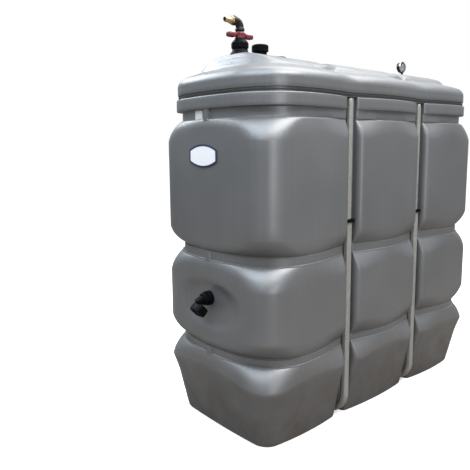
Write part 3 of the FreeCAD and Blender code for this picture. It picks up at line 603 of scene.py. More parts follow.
def roof_rise(x, y, inset):
    """Height of the roof above its flange's underside.

    Up to CROWN_INSET from the edge it is the eave: the flange's height, a round edge
    sqrt(1 - (1 - d/EAVE_ROUND)^2) and a straight slope. Further in it adds the least of five:
    the slopes from the sides, from the ends and from the valleys, the bay's own top, and a
    steep one at the eave.
    """
    near = np.clip(inset / CROWN_INSET, 0, 1)
    quick = np.sqrt(1 - (1 - np.clip(inset / EAVE_ROUND, 0, 1)) ** 2)
    eave = FLANGE_TALL + (CROWN_RISE - FLANGE_TALL) * (EAVE_SHARE * quick + (1 - EAVE_SHARE) * near)
    side = HALF_WIDTH - LID[1] - np.abs(y)
    end = HALF_LENGTH - LID[0] - np.abs(x)
    valley = np.abs(np.abs(x) - GROOVE_AT)
    from_side = np.interp(side, *SIDE_SLOPE)
    from_end = np.where(x < 0, np.interp(end, *NEAR_END_SLOPE), np.interp(end, *FAR_END_SLOPE))
    from_valley = np.interp(valley, *VALLEY_SLOPE)
    top = np.where(x < -GROOVE_AT, NEAR_CROWN, OTHER_CROWNS)
    slope = 1.6 * np.clip(inset - CROWN_INSET, 0, None)
    extra = soft_least((from_side, from_end, from_valley, top, slope), 2.6)
    return eave + np.clip(extra, 0, None) * (inset > CROWN_INSET)


def roof_shape():
    """Crown with its flange: the outline carried inwards to the middle line, a lining under it,
    and the lip that rests on the inner tank's edge."""
    half = HALF_WIDTH - LID[1]
    insets = np.concatenate([
        EAVE_ROUND * (1 - np.cos(np.linspace(0, math.pi / 2, 9))),
        np.linspace(EAVE_ROUND, CROWN_INSET, 15)[1:],
        np.linspace(CROWN_INSET, 165, 24)[1:],
        np.linspace(165, half - 1, 30)[1:],
        [half],
    ])
    rows = roof_rings(insets)
    rows[..., 2] = LID_BOTTOM + roof_rise(rows[..., 0], rows[..., 1], insets[:, None])
    flange = roof_rings(np.array([3.0, 1.0, 0.0, 0.0, 0.0]))
    flange[..., 2] = LID_BOTTOM + np.array([0.0, 0.8, 3.0, 18.0, 34.0])[:, None]
    lining = np.array([LEDGE, LEDGE, 45.0, 70.0, CROWN_INSET, 125.0, 165.0, 230.0, half - 1, half])
    under = roof_rings(lining)
    rise = roof_rise(under[..., 0], under[..., 1], lining[:, None]) - WALL
    rise[0] = 0.0
    under[..., 2] = LID_BOTTOM + rise
    skin = np.concatenate([under[::-1], flange, rows])
    return joined(sheet(skin), lip_ring(LID_BOTTOM - LIP_HEIGHT))


def roof_rings(insets):
    """Rings at a list of insets, drawn in to the roof's middle line as the inset reaches half
    the width."""
    lines = []
    half = HALF_WIDTH - LID[1]
    for inset in np.minimum(insets, half - 0.01):
        line = grown(LID, inset)
        left = half - inset
        line[2] = min(line[2], left)
        line[3] = min(line[3], 0.3 * left)
        line[4] = min(line[4], 0.1 * left)
        lines.append(line)
    rings = outline_rings(np.zeros(len(insets)), lines, 0.0, grooved=False, corners=20, faces=26)
    rings[..., 1] = np.where(np.asarray(insets)[:, None] >= half - 0.01, 0.0, rings[..., 1])
    return rings


# Turned, swept and cut shapes

def softened(points, radius, steps=4):
    """A line of points with each inner corner rounded: a quadratic curve from radius before it
    to radius after it, or to 0.45 of a shorter side."""
    points = np.asarray(points, float)
    corner = points[1:-1]
    before = points[:-2] - corner
    after = points[2:] - corner
    long_before = np.linalg.norm(before, axis=1, keepdims=True)
    long_after = np.linalg.norm(after, axis=1, keepdims=True)
    start = corner + before / long_before * np.minimum(radius, 0.45 * long_before)
    end = corner + after / long_after * np.minimum(radius, 0.45 * long_after)
    t = np.linspace(0, 1, steps + 1)[:, None, None]
    curve = (1 - t) ** 2 * start + 2 * (1 - t) * t * corner + t ** 2 * end
    curve = curve.transpose(1, 0, 2).reshape(-1, points.shape[1])
    return np.vstack([points[:1], curve, points[-1:]])


def turned(profile, ripple=None, steps=72, softness=0.8, hollow=False):
    """(radius, height) points carried round the upright axis, closed at the axis.

    ripple(radius, height, angle) gives each point's own radius. A hollow profile is a loop
    that never reaches the axis.
    """
    profile = [tuple(point) for point in profile]
    if hollow:
        profile = profile + profile[:1]
    else:
        profile = [(0.0, profile[0][1])] + profile + [(0.0, profile[-1][1])]
    line = softened(profile, softness)
    angle = np.arange(steps) * 2 * math.pi / steps
    radius = np.broadcast_to(line[:, :1], (len(line), steps))
    height = np.broadcast_to(line[:, 1:], (len(line), steps))
    if ripple:
        radius = ripple(radius, height, angle[None])
    return sheet(np.dstack([radius * np.cos(angle), radius * np.sin(angle), height]))


AXES = {
    "+Z": np.eye(3),
    "-X": np.array([[0.0, 0.0, -1.0], [0.0, 1.0, 0.0], [1.0, 0.0, 0.0]]),
    "-Y": np.array([[1.0, 0.0, 0.0], [0.0, 0.0, -1.0], [0.0, 1.0, 0.0]]),
}


def placed(shape, at, axis="+Z", lean=None):
    """A shape built about the upright axis, turned so that this axis lies along another one."""
    points, faces = shape
    matrix = AXES[axis]
    if lean is not None:
        matrix = lean @ matrix
    return points @ matrix.T + np.asarray(at, float), faces


def swept(path, section, side, size=None):
    """A closed section carried along a flat path, with its ends closed.

    side is the direction across the path's plane. A section point (u, v) lies u along side
    and v along side x tangent. size scales the section at each point of the path.
    """
    path = np.asarray(path, float)
    ahead = np.gradient(path, axis=0)
    ahead /= np.linalg.norm(ahead, axis=1, keepdims=True)
    side = np.asarray(side, float)
    out = np.cross(side, ahead)
    size = np.ones(len(path)) if size is None else np.asarray(size)
    u = section[None, :, 0, None] * size[:, None, None]
    v = section[None, :, 1, None] * size[:, None, None]
    return closed_sheet(path[:, None] + u * side + v * out[:, None])


def rounded_loop(wide, tall, radius, steps=6):
    """Closed rounded rectangle round the origin, anticlockwise."""
    angle = np.linspace(0, math.pi / 2, steps)
    arcs = []
    for turn, (sx, sy) in enumerate(((1, 1), (-1, 1), (-1, -1), (1, -1))):
        a = angle + turn * math.pi / 2
        arcs.append(np.column_stack([sx * (wide / 2 - radius) + radius * np.cos(a),
                                     sy * (tall / 2 - radius) + radius * np.sin(a)]))
    return np.vstack(arcs)


def ring_loop(radius, steps=32):
    angle = np.arange(steps) * 2 * math.pi / steps
    return np.column_stack([radius * np.cos(angle), radius * np.sin(angle)])


def slab(outline, low, high):
    """A closed flat outline between two heights."""
    rows = [np.column_stack([outline, np.full(len(outline), z)]) for z in (low, high)]
    return closed_sheet(np.stack(rows))


def grip(count, depth, low, high, share=0.5):
    """A ripple that cuts count upright flutes between two heights: radius - depth
    max(0, cos(count angle) - 1 + 2 share) / (2 share), fading over 2 mm at each end."""
    def ripple(radius, height, angle):
        fade = np.clip((height - low) / 2, 0, 1) * np.clip((high - height) / 2, 0, 1)
        wave = np.clip(np.cos(count * angle) - 1 + 2 * share, 0, None) / (2 * share)
        return radius - depth * wave * fade * (radius > 1)
    return ripple


# Straps

def strap_section(wide, thick, flute):
    """Rolled bar with two shallow flutes down its outer face, where v falls by
    flute sin(FLUTE_TURNS pi u / wide) squared."""
    steps = 7
    loop = rounded_loop(wide, thick, BAR_ROUND, steps)
    reach = wide / 2 - BAR_ROUND - 0.2
    face = plane_points(np.linspace(reach, -reach, 15), thick / 2)
    loop = np.vstack([loop[:steps], face, loop[steps:]])
    on_face = np.abs(loop[:, 1] - thick / 2) < 0.01
    waves = flute * np.sin(math.pi * (loop[:, 0] / wide) * FLUTE_TURNS) ** 2
    loop[:, 1] -= np.where(on_face, waves, 0.0)
    return loop


def lower_strap(at):
    """Down one groove, round under the tank and up the groove on the other side."""
    centre = STRAP_FACE + STRAP_THICKNESS / 2
    low = STRAP_LIFT + STRAP_THICKNESS / 2
    bend = STRAP_BEND + SEAT_GAP + STRAP_THICKNESS / 2
    flat = centre - bend
    top = node_box("strap_left_lower")[1][2]
    angle = np.linspace(0, math.pi / 2, 19)
    front = np.column_stack([-flat - bend * np.cos(angle), low + bend - bend * np.sin(angle)])
    rear = (front * (-1, 1))[::-1]
    upright = np.linspace(top, low + bend, 24)[:-1]
    sole = np.linspace(-flat, flat, 10)[1:-1]
    line = np.vstack([
        plane_points(-centre, upright), front, plane_points(sole, low), rear,
        plane_points(centre, upright[::-1]),
    ])
    path = np.column_stack([np.full(len(line), at), line])
    return swept(path, strap_section(STRAP_WIDTH, STRAP_THICKNESS, 1.2), (-1, 0, 0))


def upper_strap(at, side):
    """Straight bar with a round end: over the last r its half-width is sqrt(r^2 - (z - z0)^2),
    and it thins to 0.35 of its thickness."""
    low, top = (corner[2] for corner in node_box("strap_left_front"))
    half = UPPER_STRAP_WIDTH / 2
    last = top - half + half * np.sin(np.linspace(0, math.pi / 2, 9)[:-1])
    z = np.concatenate([np.linspace(low, top - half, 20)[:-1], last, [top - 0.1]])
    wide = np.sqrt(half ** 2 - np.clip(z - (top - half), 0, half) ** 2) / half
    u, v = strap_section(UPPER_STRAP_WIDTH, UPPER_STRAP_THICKNESS, 0.8).T
    wide = wide[:, None]
    x = at + u * wide
    depth = STRAP_FACE + UPPER_STRAP_THICKNESS / 2 + v * (0.35 + 0.65 * wide)
    return closed_sheet(np.dstack([x, side * depth, np.broadcast_to(z[:, None], x.shape)]))


def strap_clip(node):
    """Sleeve with two short flanges round a slot for the bar, as a flat outline raised between
    two heights."""
    low, high = node_box(node)
    centre = (low[0] + high[0]) / 2
    side = math.copysign(1.0, low[1])
    outer = max(abs(low[1]), abs(high[1]))
    inner = min(abs(low[1]), abs(high[1]))
    slot = STRAP_WIDTH / 2 + SEAT_GAP
    half = (high[0] - low[0]) / 2
    back = STRAP_FACE + STRAP_THICKNESS + SEAT_GAP
    outline = np.array([(half, inner), (half, outer), (-half, outer), (-half, inner),
                        (-slot, inner), (-slot, back), (slot, back), (slot, inner)])
    outline = outline * (1, side) + (centre, 0)
    return slab(outline, low[2], high[2])


# Top fittings

def fitting_base(node):
    """Middle of a node seen from above, its lowest height and its size."""
    low, high = node_box(node)
    return np.array([(low[0] + high[0]) / 2, (low[1] + high[1]) / 2, low[2]]), high - low


def valve_flange():
    """Round foot with a notched edge and a sloped neck."""
    at, size = fitting_base("valve_flange")
    r = size[0] / 2
    profile = ((r - 1, 0), (r, 1.5), (r, 5), (r - 3, 8), (r - 7, 13), (r - 9, 19), (r - 10, 22),
               (r - 10, size[2]))
    return placed(turned(profile, grip(8, 2.2, 1, 9, 0.12)), at)


def valve_union():
    """Barrel-shaped nut with upright grips and a stepped neck."""
    at, size = fitting_base("valve_union")
    r, h = size[1] / 2, size[2]
    profile = ((0.84 * r, 0), (0.97 * r, 0.08 * h), (r, 0.16 * h), (r, 0.55 * h), (0.93 * r, 0.66 * h),
               (0.82 * r, 0.8 * h), (0.78 * r, 0.84 * h), (0.66 * r, 0.88 * h), (0.64 * r, h))
    return placed(turned(profile, grip(12, 4.0, 0.08 * h, 0.64 * h, 0.35), steps=120), at)


def valve_spindle():
    """Round bar with a shallow waist."""
    at, size = fitting_base("valve_spindle")
    r, h = size[0] / 2, size[2]
    profile = ((r, 0), (r, 0.2 * h), (r - 1.5, 0.24 * h), (r - 1.5, 0.8 * h), (r, 0.84 * h), (r, h))
    return placed(turned(profile), at)


def valve_handle():
    """Two wings and a domed hub.

    Across the span u from -1 to 1, the top is a bell round the hub over a flat wing, the
    underside an arch, and the section a superellipse (|y/a|^4 + |z/b|^4 = 1).
    """
    at, size = fitting_base("valve_handle")
    half, h = size[0] / 2, size[2]
    u = np.sin(np.linspace(-math.pi / 2, math.pi / 2, 61))[:, None]
    tip = np.clip(1 - np.abs(u) ** 14, 0, 1) ** 0.5
    top = h * (0.70 + 0.28 * np.exp(-(u / 0.36) ** 4) + 0.08 * np.abs(u) ** 3)
    foot = h * (0.06 + 0.30 * np.exp(-(u / 0.42) ** 6))
    middle, tall = (top + foot) / 2, (top - foot) / 2 * (0.35 + 0.65 * tip)
    half_thick, r = 14.0, 21.0
    thick = half_thick * (0.72 + 0.28 * np.abs(u) ** 1.5) * (0.3 + 0.7 * tip)
    angle = np.linspace(0, 2 * math.pi, 41)[:-1][None]
    y = thick * np.sign(np.cos(angle)) * np.abs(np.cos(angle)) ** 0.5
    z = middle + tall * np.sign(np.sin(angle)) * np.abs(np.sin(angle)) ** 0.5
    wings = closed_sheet(np.dstack([np.broadcast_to(half * u, y.shape), y, z]))
    hub = turned(((r - 1, 0), (r, 1.5), (r, 0.7 * h), (r - 2, 0.86 * h), (r - 7, 0.97 * h), (r - 9, h)),
                 grip(10, 1.6, 2, 0.7 * h, 0.3))
    return placed(joined(wings, hub), at)


def suction_elbow():
    """Quarter bend, its radius swelling into a bead at each mouth."""
    low, high = node_box("suction_elbow")
    radius, bead, collar, bend = 17.0, 20.0, 13.0, 26.0
    x, z = high[0] - bead, low[2]
    rise = np.linspace(0, collar, 9)
    turn = np.linspace(0, math.pi / 2, 15)[1:-1]
    line = np.vstack([
        plane_points(x, z + rise),
        plane_points(x - bend * (1 - np.cos(turn)), z + collar + bend * np.sin(turn)),
        plane_points(x - bend - rise, z + collar + bend),
    ])
    path = np.insert(line, 1, 0.0, axis=1)
    lobe = np.concatenate([[bead - 1.2], np.full(5, bead), [bead - 0.6, bead - 2.2, radius]])
    size = np.concatenate([lobe, np.full(len(turn), radius), lobe[::-1]])
    return swept(path, ring_loop(1.0, 48), (0, 1, 0), size)


def end_base(node):
    """Where a round node that points out along -X starts, its radius and its length."""
    low, high = node_box(node)
    return (high[0], 0, (low[2] + high[2]) / 2), (high[2] - low[2]) / 2, high[0] - low[0]


def brass_nipple():
    """Hexagon with chamfered corners, then a hose tail with four barbs, bored right through."""
    at, _, long = end_base("brass_nipple")
    flats, corners, foot, bore = 32.0, 18.4, 12.4, 9.0
    barbs = [(foot, 15.0)]
    for index in range(4):
        start = 18.0 + 6.2 * index
        barbs += [(10.9, start - 1.4), (12.5, start), (10.9, start + 4.4)]
    profile = [(bore, 0.0), (corners, 0.0), (corners, 12.0), (foot, 12.6)]
    profile += barbs + [(10.6, long), (bore, long)]

    def hexagon(radius, _, angle):
        side = np.mod(angle, math.pi / 3) - math.pi / 6
        return np.where(radius > 13.5, np.minimum(radius - 0.5, flats / 2 / np.cos(side)), radius)

    shape = turned(profile, hexagon, steps=96, softness=0.5, hollow=True)
    return placed(shape, at, "-X")


def filler_neck():
    """Short pipe on a round foot, with a groove under its thread, bored right through."""
    at, size = fitting_base("filler_neck")
    foot, r, bore, h = size[0] / 2, 30.0, 26.0, size[2]
    profile = ((bore, 0), (foot, 0), (foot, 4), (foot - 2, 6), (r, 7), (r, 14), (r - 0.8, 15),
               (r - 0.8, 17), (r, 18), (r, h), (bore, h))
    return placed(turned(profile, softness=0.5, hollow=True), at)


def filler_cap():
    """Screw cap with grip ribs, a flat raised centre and a hollow for the neck."""
    at, size = fitting_base("filler_cap")
    r, h, room, neck = size[0] / 2, size[2], 22.0, 30.3
    profile = ((neck, room), (neck, 0), (r - 1, 0), (r, 1.5), (r, h - 7), (r - 2, h - 3),
               (r - 7, h - 0.4), (r - 14, h - 0.4), (r - 15, h - 1.6))
    ribs = grip(18, 2.6, 0.5, h - 4, 0.42)

    def outside(radius, height, angle):
        return np.where(radius < neck + 0.5, radius, ribs(radius, height, angle))

    return placed(turned(profile, outside, steps=144), at)


def inspection_plug():
    """Flat round bung with a grooved edge and a straight grip bar across it."""
    at, size = fitting_base("inspection_plug")
    r = size[0] / 2
    profile = ((r - 5, 0), (r - 5, 9), (r, 9.5), (r, 13.5), (r - 2, 15), (r - 8, 15), (r - 9, 14), (4, 14))
    body = turned(profile, grip(24, 1.1, 9, 15, 0.4), steps=144)
    bar = slab(rounded_loop(1.5 * r, 8, 3.4), 13.5, size[2])
    return placed(joined(body, bar), at)


# Gauge

GAUGE_RADIUS = 31.5
GAUGE_HALF_DEPTH = 14.0
DIAL_RADIUS = GAUGE_RADIUS - 4.3
DIAL_FACE = GAUGE_HALF_DEPTH - 6.5
GAUGE_LIFT = 66.0
GAUGE_LEAN = 10.0
GAUGE_FOOT_Y = -30.0
ROOF_THIRD = LID_BOTTOM + 151.0
GAUGE_CENTRE = np.array([600.0, 0.0, ROOF_THIRD + GAUGE_LIFT])


def about(axis, degrees):
    """Rotation matrix about one of the frame's axes."""
    return np.array(Matrix.Rotation(math.radians(degrees), 3, axis))


def on_gauge(shape):
    """A piece built about the upright axis, set on the gauge with its top towards the dial's
    side."""
    return placed(shape, GAUGE_CENTRE, "-Y", about("X", -GAUGE_LEAN))


def gauge_case():
    """Shallow can with a rolled bezel, open in front."""
    r, d = GAUGE_RADIUS, GAUGE_HALF_DEPTH
    profile = ((0.01, -d), (r - 5, -d), (r - 2, -d + 3), (r - 2, d - 8), (r, d - 7), (r, d - 2),
               (r - 1.2, d), (r - 3, d), (r - 4, d - 1.4), (r - 4, d - 8), (0.01, d - 8))
    return on_gauge(turned(profile, softness=0.9))


def gauge_dial():
    """Thin plate just behind the glass."""
    return on_gauge(turned(((DIAL_RADIUS, DIAL_FACE - 1.2), (DIAL_RADIUS, DIAL_FACE)), softness=0.2))


def gauge_glass():
    """Flat round pane in front of the needle."""
    top = GAUGE_HALF_DEPTH - 1.0
    return on_gauge(turned(((DIAL_RADIUS, top - 2.0), (DIAL_RADIUS, top - 0.3)), softness=0.4))


def gauge_needle():
    """Tapered pointer on a small boss."""
    top = DIAL_FACE + 0.3
    pointer = np.array([(-1.4, -6.0), (1.4, -6.0), (0.45, 20.0), (-0.45, 20.0)])
    points, faces = slab(pointer, top, top + 1.0)
    boss = turned(((3.5, top), (3.5, top + 1.2), (2.6, top + 1.7)), softness=0.3, steps=32)
    return on_gauge(joined((points @ about("Z", 50).T, faces), boss))


def gauge_stem():
    """Foot with six flats, a slanted pipe, and a cone up to the underside of the case."""
    foot = turned(((14, 0), (14, 3), (12.5, 4)), grip(6, 0.9, -3, 9, 0.3), steps=96)
    lean = math.radians(GAUGE_LEAN)
    down = np.array([0.0, -math.sin(lean), -math.cos(lean)])
    seat = GAUGE_RADIUS - 2 + SEAT_GAP
    start = np.array([GAUGE_CENTRE[0], GAUGE_FOOT_Y, ROOF_THIRD + 2.0])
    knee = GAUGE_CENTRE + down * (seat + 12.0)
    top = GAUGE_CENTRE + down * (seat + 0.4)
    line = softened([start, knee, top], 6.0, 8)
    size = np.concatenate([np.full(6, 4.5), np.linspace(4.6, 6.5, len(line) - 6)])
    foot = placed(foot, (GAUGE_CENTRE[0], GAUGE_FOOT_Y, ROOF_THIRD))
    return joined(foot, swept(line, ring_loop(1.0, 32), (1, 0, 0), size))


# Outlet and plates on the end

def outlet_socket():
    """Round socket that starts behind the recessed panel."""
    at, r, long = end_base("outlet_socket")
    profile = ((r, -DISH_DEPTH - 1), (r, long - 2.5), (r - 2.5, long - 0.6), (r - 6, long))
    return placed(turned(profile), at, "-X")


def outlet_knob():
    """Round knob with a domed front and a ring of shallow flutes."""
    at, r, long = end_base("outlet_knob")
    profile = ((r - 2, 0), (r, 2), (r, long - 9), (r - 2, long - 5), (r - 8, long - 1.6),
               (r - 16, long - 0.2), (2, long))
    shape = turned(profile, grip(14, 1.8, 1, long - 6, 0.4), steps=112, softness=2.0)
    return placed(shape, at, "-X")


HOOD_WIDE, HOOD_TALL, HOOD_LONG, HOOD_ROUND = 60.0, 56.0, 38.0, 13.0
HOOD_LEAN = 225.0
FRAME_PROUD = 1.5


def hood_cap():
    """Rounded cap with its mouth at the top. Along its axis the outline is inset by a rounded
    rear edge, a raised frame, and a recessed mouth with a second, smaller step."""
    rows = []
    wide = HOOD_WIDE - 2 * FRAME_PROUD
    rear = ((6.0, 0.0), (2.4, 1.0), (0.6, 3.5), (0.0, 7.0))
    steps = [(inset, up - HOOD_LONG) for inset, up in rear]
    steps += [(0.0, -9.0), (1.2, -8.2), (1.2, -7.2), (0.0, -6.4), (0.0, -1.6), (0.8, -0.3), (1.8, 0.0),
              (4.2, 0.0), (5.4, -0.6), (6.4, -2.6), (6.8, -3.4), (9.6, -3.4), (10.2, -4.4), (10.4, -5.0)]
    for inset, depth in steps:
        loop = rounded_loop(HOOD_TALL - 2 * inset, wide - 2 * inset, HOOD_ROUND - 0.8 * inset)
        rows.append(np.column_stack([loop, np.full(len(loop), depth)]))
    return closed_sheet(np.stack(rows))


def hood_frame(way, tall, long):
    """Raised frame on one flank of the cap, closed round its own section."""
    flank = HOOD_WIDE / 2 - FRAME_PROUD - 1.0
    rows = []
    for inset, out in ((0.0, 0.0), (0.0, 1.5), (0.8, 2.3), (3.2, 2.3), (4.0, 1.5), (4.0, 0.0), (0.0, 0.0)):
        loop = rounded_loop(tall - 2 * inset, long - 2 * inset, min(8, long / 3) - 0.8 * inset)
        side = np.full(len(loop), way * (flank + out))
        rows.append(np.column_stack([loop[:, 0], side, loop[:, 1] - HOOD_LONG / 2]))
    return sheet(np.stack(rows))


def outlet_hood():
    """The cap with its framed flanks, its mouth down and out, and the ribbed bend that carries
    it."""
    frames = [hood_frame(way, *size) for size in ((46, 33), (28, 15)) for way in (-1, 1)]
    points, faces = joined(hood_cap(), *frames)
    low, high = node_box("outlet_knob")
    face = np.array([low[0], 0.0, (low[2] + high[2]) / 2])
    mouth = face + (-28.0, 0.0, -55.0)
    cap = (points @ about("Y", HOOD_LEAN).T + mouth, faces)
    turn = np.linspace(0, math.pi / 4, 49)
    bend, ribs = 27.0, 24
    pivot = face + (0.0, 0.0, -30.0)
    path = pivot + np.column_stack([-bend * np.sin(turn), 0 * turn, bend * np.cos(turn)])
    size = 1.0 + 0.05 * np.clip(2.2 * np.cos(turn * ribs), -1, 1)
    return joined(cap, swept(path, rounded_loop(32, 30, 9), (0, -1, 0), size))


BADGE_BORDER = 7.9


def badge_outline(wide, tall):
    """Upright short sides joined by two arcs, as (y, z) round the badge's middle."""
    side = tall / 4
    rise = tall / 2 - side
    radius = ((wide / 2) ** 2 + rise ** 2) / (2 * rise)
    reach = math.asin(wide / 2 / radius)
    angle = np.linspace(-reach, reach, 25)
    top = np.column_stack([radius * np.sin(angle), side + rise - radius * (1 - np.cos(angle))])
    return np.vstack([top[::-1], -top[::-1]])


def badge_plate():
    """Flat plate of the badge's outline, in the plane of the tank's end."""
    low, high = node_box("badge_plate")
    deep, wide, tall = high - low
    middle = (low + high) / 2
    points, faces = slab(badge_outline(wide, tall), 0, deep)
    y, z, out = points.T
    return np.column_stack([high[0] - out, middle[1] + y, middle[2] + z]), faces


def badge_border():
    """Raised rim: the space between two badge outlines, closed round its own section."""
    low, high = node_box("badge_border")
    deep, wide, tall = high - low
    middle = (low + high)[1:] / 2
    inside = 2 * BADGE_BORDER
    outer, inner = badge_outline(wide, tall), badge_outline(wide - inside, tall - inside)
    rows = []
    for loop, out in ((outer, 0.0), (outer, deep - 1), (outer * 0.992, deep), (inner * 1.02, deep),
                      (inner, deep - 1), (inner, 0.0), (outer, 0.0)):
        rows.append(np.column_stack([np.full(len(loop), high[0] - out), middle + loop]))
    return sheet(np.stack(rows))


# Finishes: node groups that several materials share

def fill(tree, place, value):
    """Give a socket its value: a link from another socket, or a number or colour of its own."""
    if isinstance(value, bpy.types.NodeSocket):
        tree.links.new(value, place)
    elif place.type == "RGBA":
        place.default_value = (*value, 1.0)
    else:
        place.default_value = value


def node(tree, kind, settings=None, **values):
    """A node with its properties set from settings and its sockets from values, where a name's
    _ stands for a space."""
    made = tree.nodes.new("ShaderNode" + kind)
    for name, value in (settings or {}).items():
        setattr(made, name, value)
    for name, value in values.items():
        fill(tree, made.inputs[name.replace("_", " ")], value)
    return made


def maths(tree, operation, first, second=0.0, clamp=False):
    made = node(tree, "Math", {"operation": operation, "use_clamp": clamp})
    fill(tree, made.inputs[0], first)
    fill(tree, made.inputs[1], second)
    return made.outputs[0]


def times(tree, first, second, clamp=False):
    return maths(tree, "MULTIPLY", first, second, clamp)


def plus(tree, first, second):
    return maths(tree, "ADD", first, second)


def blend(tree, share, first, second):
    """Colour between two colours or sockets."""
    made = node(tree, "Mix", {"data_type": "RGBA"})
    for place, value in zip((0, 6, 7), (share, first, second)):
        fill(tree, made.inputs[place], value)
    return made.outputs[2]


def layered(tree, colour, *coats):
    """A colour with coats laid over it, each given as its mask and its own colour."""
    for mask, coat in coats:
        colour = blend(tree, mask, colour, coat)
    return colour


def spread(tree, value, low, high, to_low=0.0, to_high=1.0):
    """A value carried from one range to another and kept inside it."""
    made = node(tree, "MapRange", From_Min=low, From_Max=high, To_Min=to_low, To_Max=to_high, Value=value)
    return made.outputs[0]


def object_place(tree):
    return node(tree, "TexCoord").outputs["Object"]


def split(tree, vector):
    """The three parts of a vector."""
    return node(tree, "SeparateXYZ", Vector=vector).outputs


def noise(tree, place, scale, detail, rough=0.5):
    """Noise at a place, with its number of finer layers and their strength."""
    return node(tree, "TexNoise", Vector=place, Scale=scale, Detail=detail, Roughness=rough).outputs[0]


def new_group(name, inputs, outputs):
    """A node group with plain number sockets, as (tree, what it is given, what it gives)."""
    tree = bpy.data.node_groups.new(name, "ShaderNodeTree")
    for label, value in inputs.items():
        given = tree.interface.new_socket(name=label, in_out="INPUT", socket_type="NodeSocketFloat")
        given.default_value = value
    for label in outputs:
        tree.interface.new_socket(name=label, in_out="OUTPUT", socket_type="NodeSocketFloat")
    return tree, tree.nodes.new("NodeGroupInput").outputs, tree.nodes.new("NodeGroupOutput").inputs


def use(tree, group, **values):
    return node(tree, "Group", {"node_tree": group}, **values).outputs


def moulded_grain():
    """Fine skin of moulded plastic: two sizes of noise, as a height, and a slow mottle."""
    tree, given, out = new_group("moulded grain", {"Scale": 900.0}, ("Height", "Mottle"))
    place = object_place(tree)
    fine = noise(tree, place, given["Scale"], 2.0, 0.6)
    wide = noise(tree, place, maths(tree, "DIVIDE", given["Scale"], 9.0), 3.0)
    slow = noise(tree, place, 3.1, 4.0, 0.55)
    fill(tree, out["Height"], plus(tree, times(tree, fine, 0.6), times(tree, wide, 0.4)))
    fill(tree, out["Mottle"], spread(tree, slow, 0.3, 0.7))
    return tree


def upright_streaks():
    """Narrow upright streaks left by the mould and by rain: noise stretched along Z, broken by
    a slower noise."""
    tree, given, out = new_group("upright streaks", {"Fineness": 120.0, "Length": 0.7}, ("Mask",))
    place = object_place(tree)
    parts = split(tree, place)
    across = times(tree, plus(tree, parts[0], times(tree, parts[1], 1.31)), given["Fineness"])
    along = times(tree, parts[2], given["Length"])
    line = node(tree, "CombineXYZ", X=across, Y=along, Z=0.0).outputs[0]
    thin = noise(tree, line, 1.0, 3.0, 0.65)
    patches = noise(tree, place, 2.3, 2.0)
    fill(tree, out["Mask"], times(tree, spread(tree, thin, 0.35, 0.75), spread(tree, patches, 0.32, 0.68)))
    return tree


def worn_edges():
    """Rubbed edges: how far a rounded normal turns from the true one, broken up by noise."""
    tree, given, out = new_group("worn edges", {"Radius": 0.004, "Amount": 1.0}, ("Mask",))
    dot = node(tree, "VectorMath", {"operation": "DOT_PRODUCT"})
    fill(tree, dot.inputs[0], node(tree, "Bevel", {"samples": 4}, Radius=given["Radius"]).outputs[0])
    fill(tree, dot.inputs[1], node(tree, "NewGeometry").outputs["Normal"])
    edge = spread(tree, dot.outputs["Value"], 0.99, 0.86)
    broken = spread(tree, noise(tree, object_place(tree), 70.0, 4.0), 0.35, 0.65)
    fill(tree, out["Mask"], times(tree, times(tree, edge, broken), given["Amount"], clamp=True))
    return tree


def settled_dust():
    """Pale dust on faces that look up, in soft patches."""
    tree, given, out = new_group("settled dust", {"Amount": 0.5}, ("Mask",))
    up = spread(tree, split(tree, node(tree, "NewGeometry").outputs["Normal"])[2], 0.25, 1.0)
    patches = spread(tree, noise(tree, object_place(tree), 9.0, 5.0, 0.6), 0.3, 0.75)
    fill(tree, out["Mask"], times(tree, times(tree, up, patches), given["Amount"], clamp=True))
    return tree


GRAIN = moulded_grain()
STREAKS = upright_streaks()
WEAR = worn_edges()
DUST = settled_dust()


# Finishes: the materials

def material(name):
    """A material with an empty Principled surface, as (material, tree)."""
    made = bpy.data.materials.new(name)
    made.use_nodes = True
    return made, made.node_tree


def dress(tree, height=None, relief=0.0, **values):
    """Set the Principled surface's sockets from values, where a name's _ stands for a space, and
    its normal from a height that is relief metres deep."""
    if height is not None:
        values["Normal"] = node(tree, "Bump", Height=height, Distance=relief, Strength=1.0).outputs[0]
    for name, value in values.items():
        fill(tree, tree.nodes["Principled BSDF"].inputs[name.replace("_", " ")], value)


def grey_polyethylene():
    """Satin silver-grey moulded skin: slow mottle, upright streaks, pale rubbed edges, and painted shade
    near the floor, darker and browner towards it."""
    made, tree = material("grey polyethylene")
    place = object_place(tree)
    grain = use(tree, GRAIN, Scale=1400.0)
    streaks = use(tree, STREAKS, Fineness=150.0, Length=0.8)["Mask"]
    wear = use(tree, WEAR, Radius=0.006, Amount=0.35)["Mask"]
    dust = use(tree, DUST, Amount=0.22)["Mask"]
    # Painted shade: the skin turns darker and browner towards the floor, standing in for the shade and
    # brown bounce near it, and is rougher there.
    near_floor = spread(tree, split(tree, place)[2], 0.42, 0.0)
    painted_floor_shade = times(tree, near_floor, spread(tree, noise(tree, place, 7.0, 5.0, 0.6), 0.25, 0.65))
    colour = layered(
        tree, blend(tree, grain["Mottle"], (0.158, 0.162, 0.168), (0.182, 0.186, 0.192)),
        (times(tree, streaks, 0.4), (0.235, 0.240, 0.247)),
        (dust, (0.34, 0.335, 0.325)),
        (wear, (0.34, 0.34, 0.34)),
        (times(tree, painted_floor_shade, 0.66), (0.080, 0.058, 0.042)),
    )
    rough = plus(tree, spread(tree, grain["Mottle"], 0.0, 1.0, 0.35, 0.41), times(tree, painted_floor_shade, 0.2))
    rough = plus(tree, rough, times(tree, dust, 0.25))
    height = plus(tree, grain["Height"], times(tree, streaks, 0.8))
    dress(tree, height, 0.00025, Base_Color=colour, Roughness=rough, Metallic=0.50, Specular_IOR_Level=0.5)
    return made


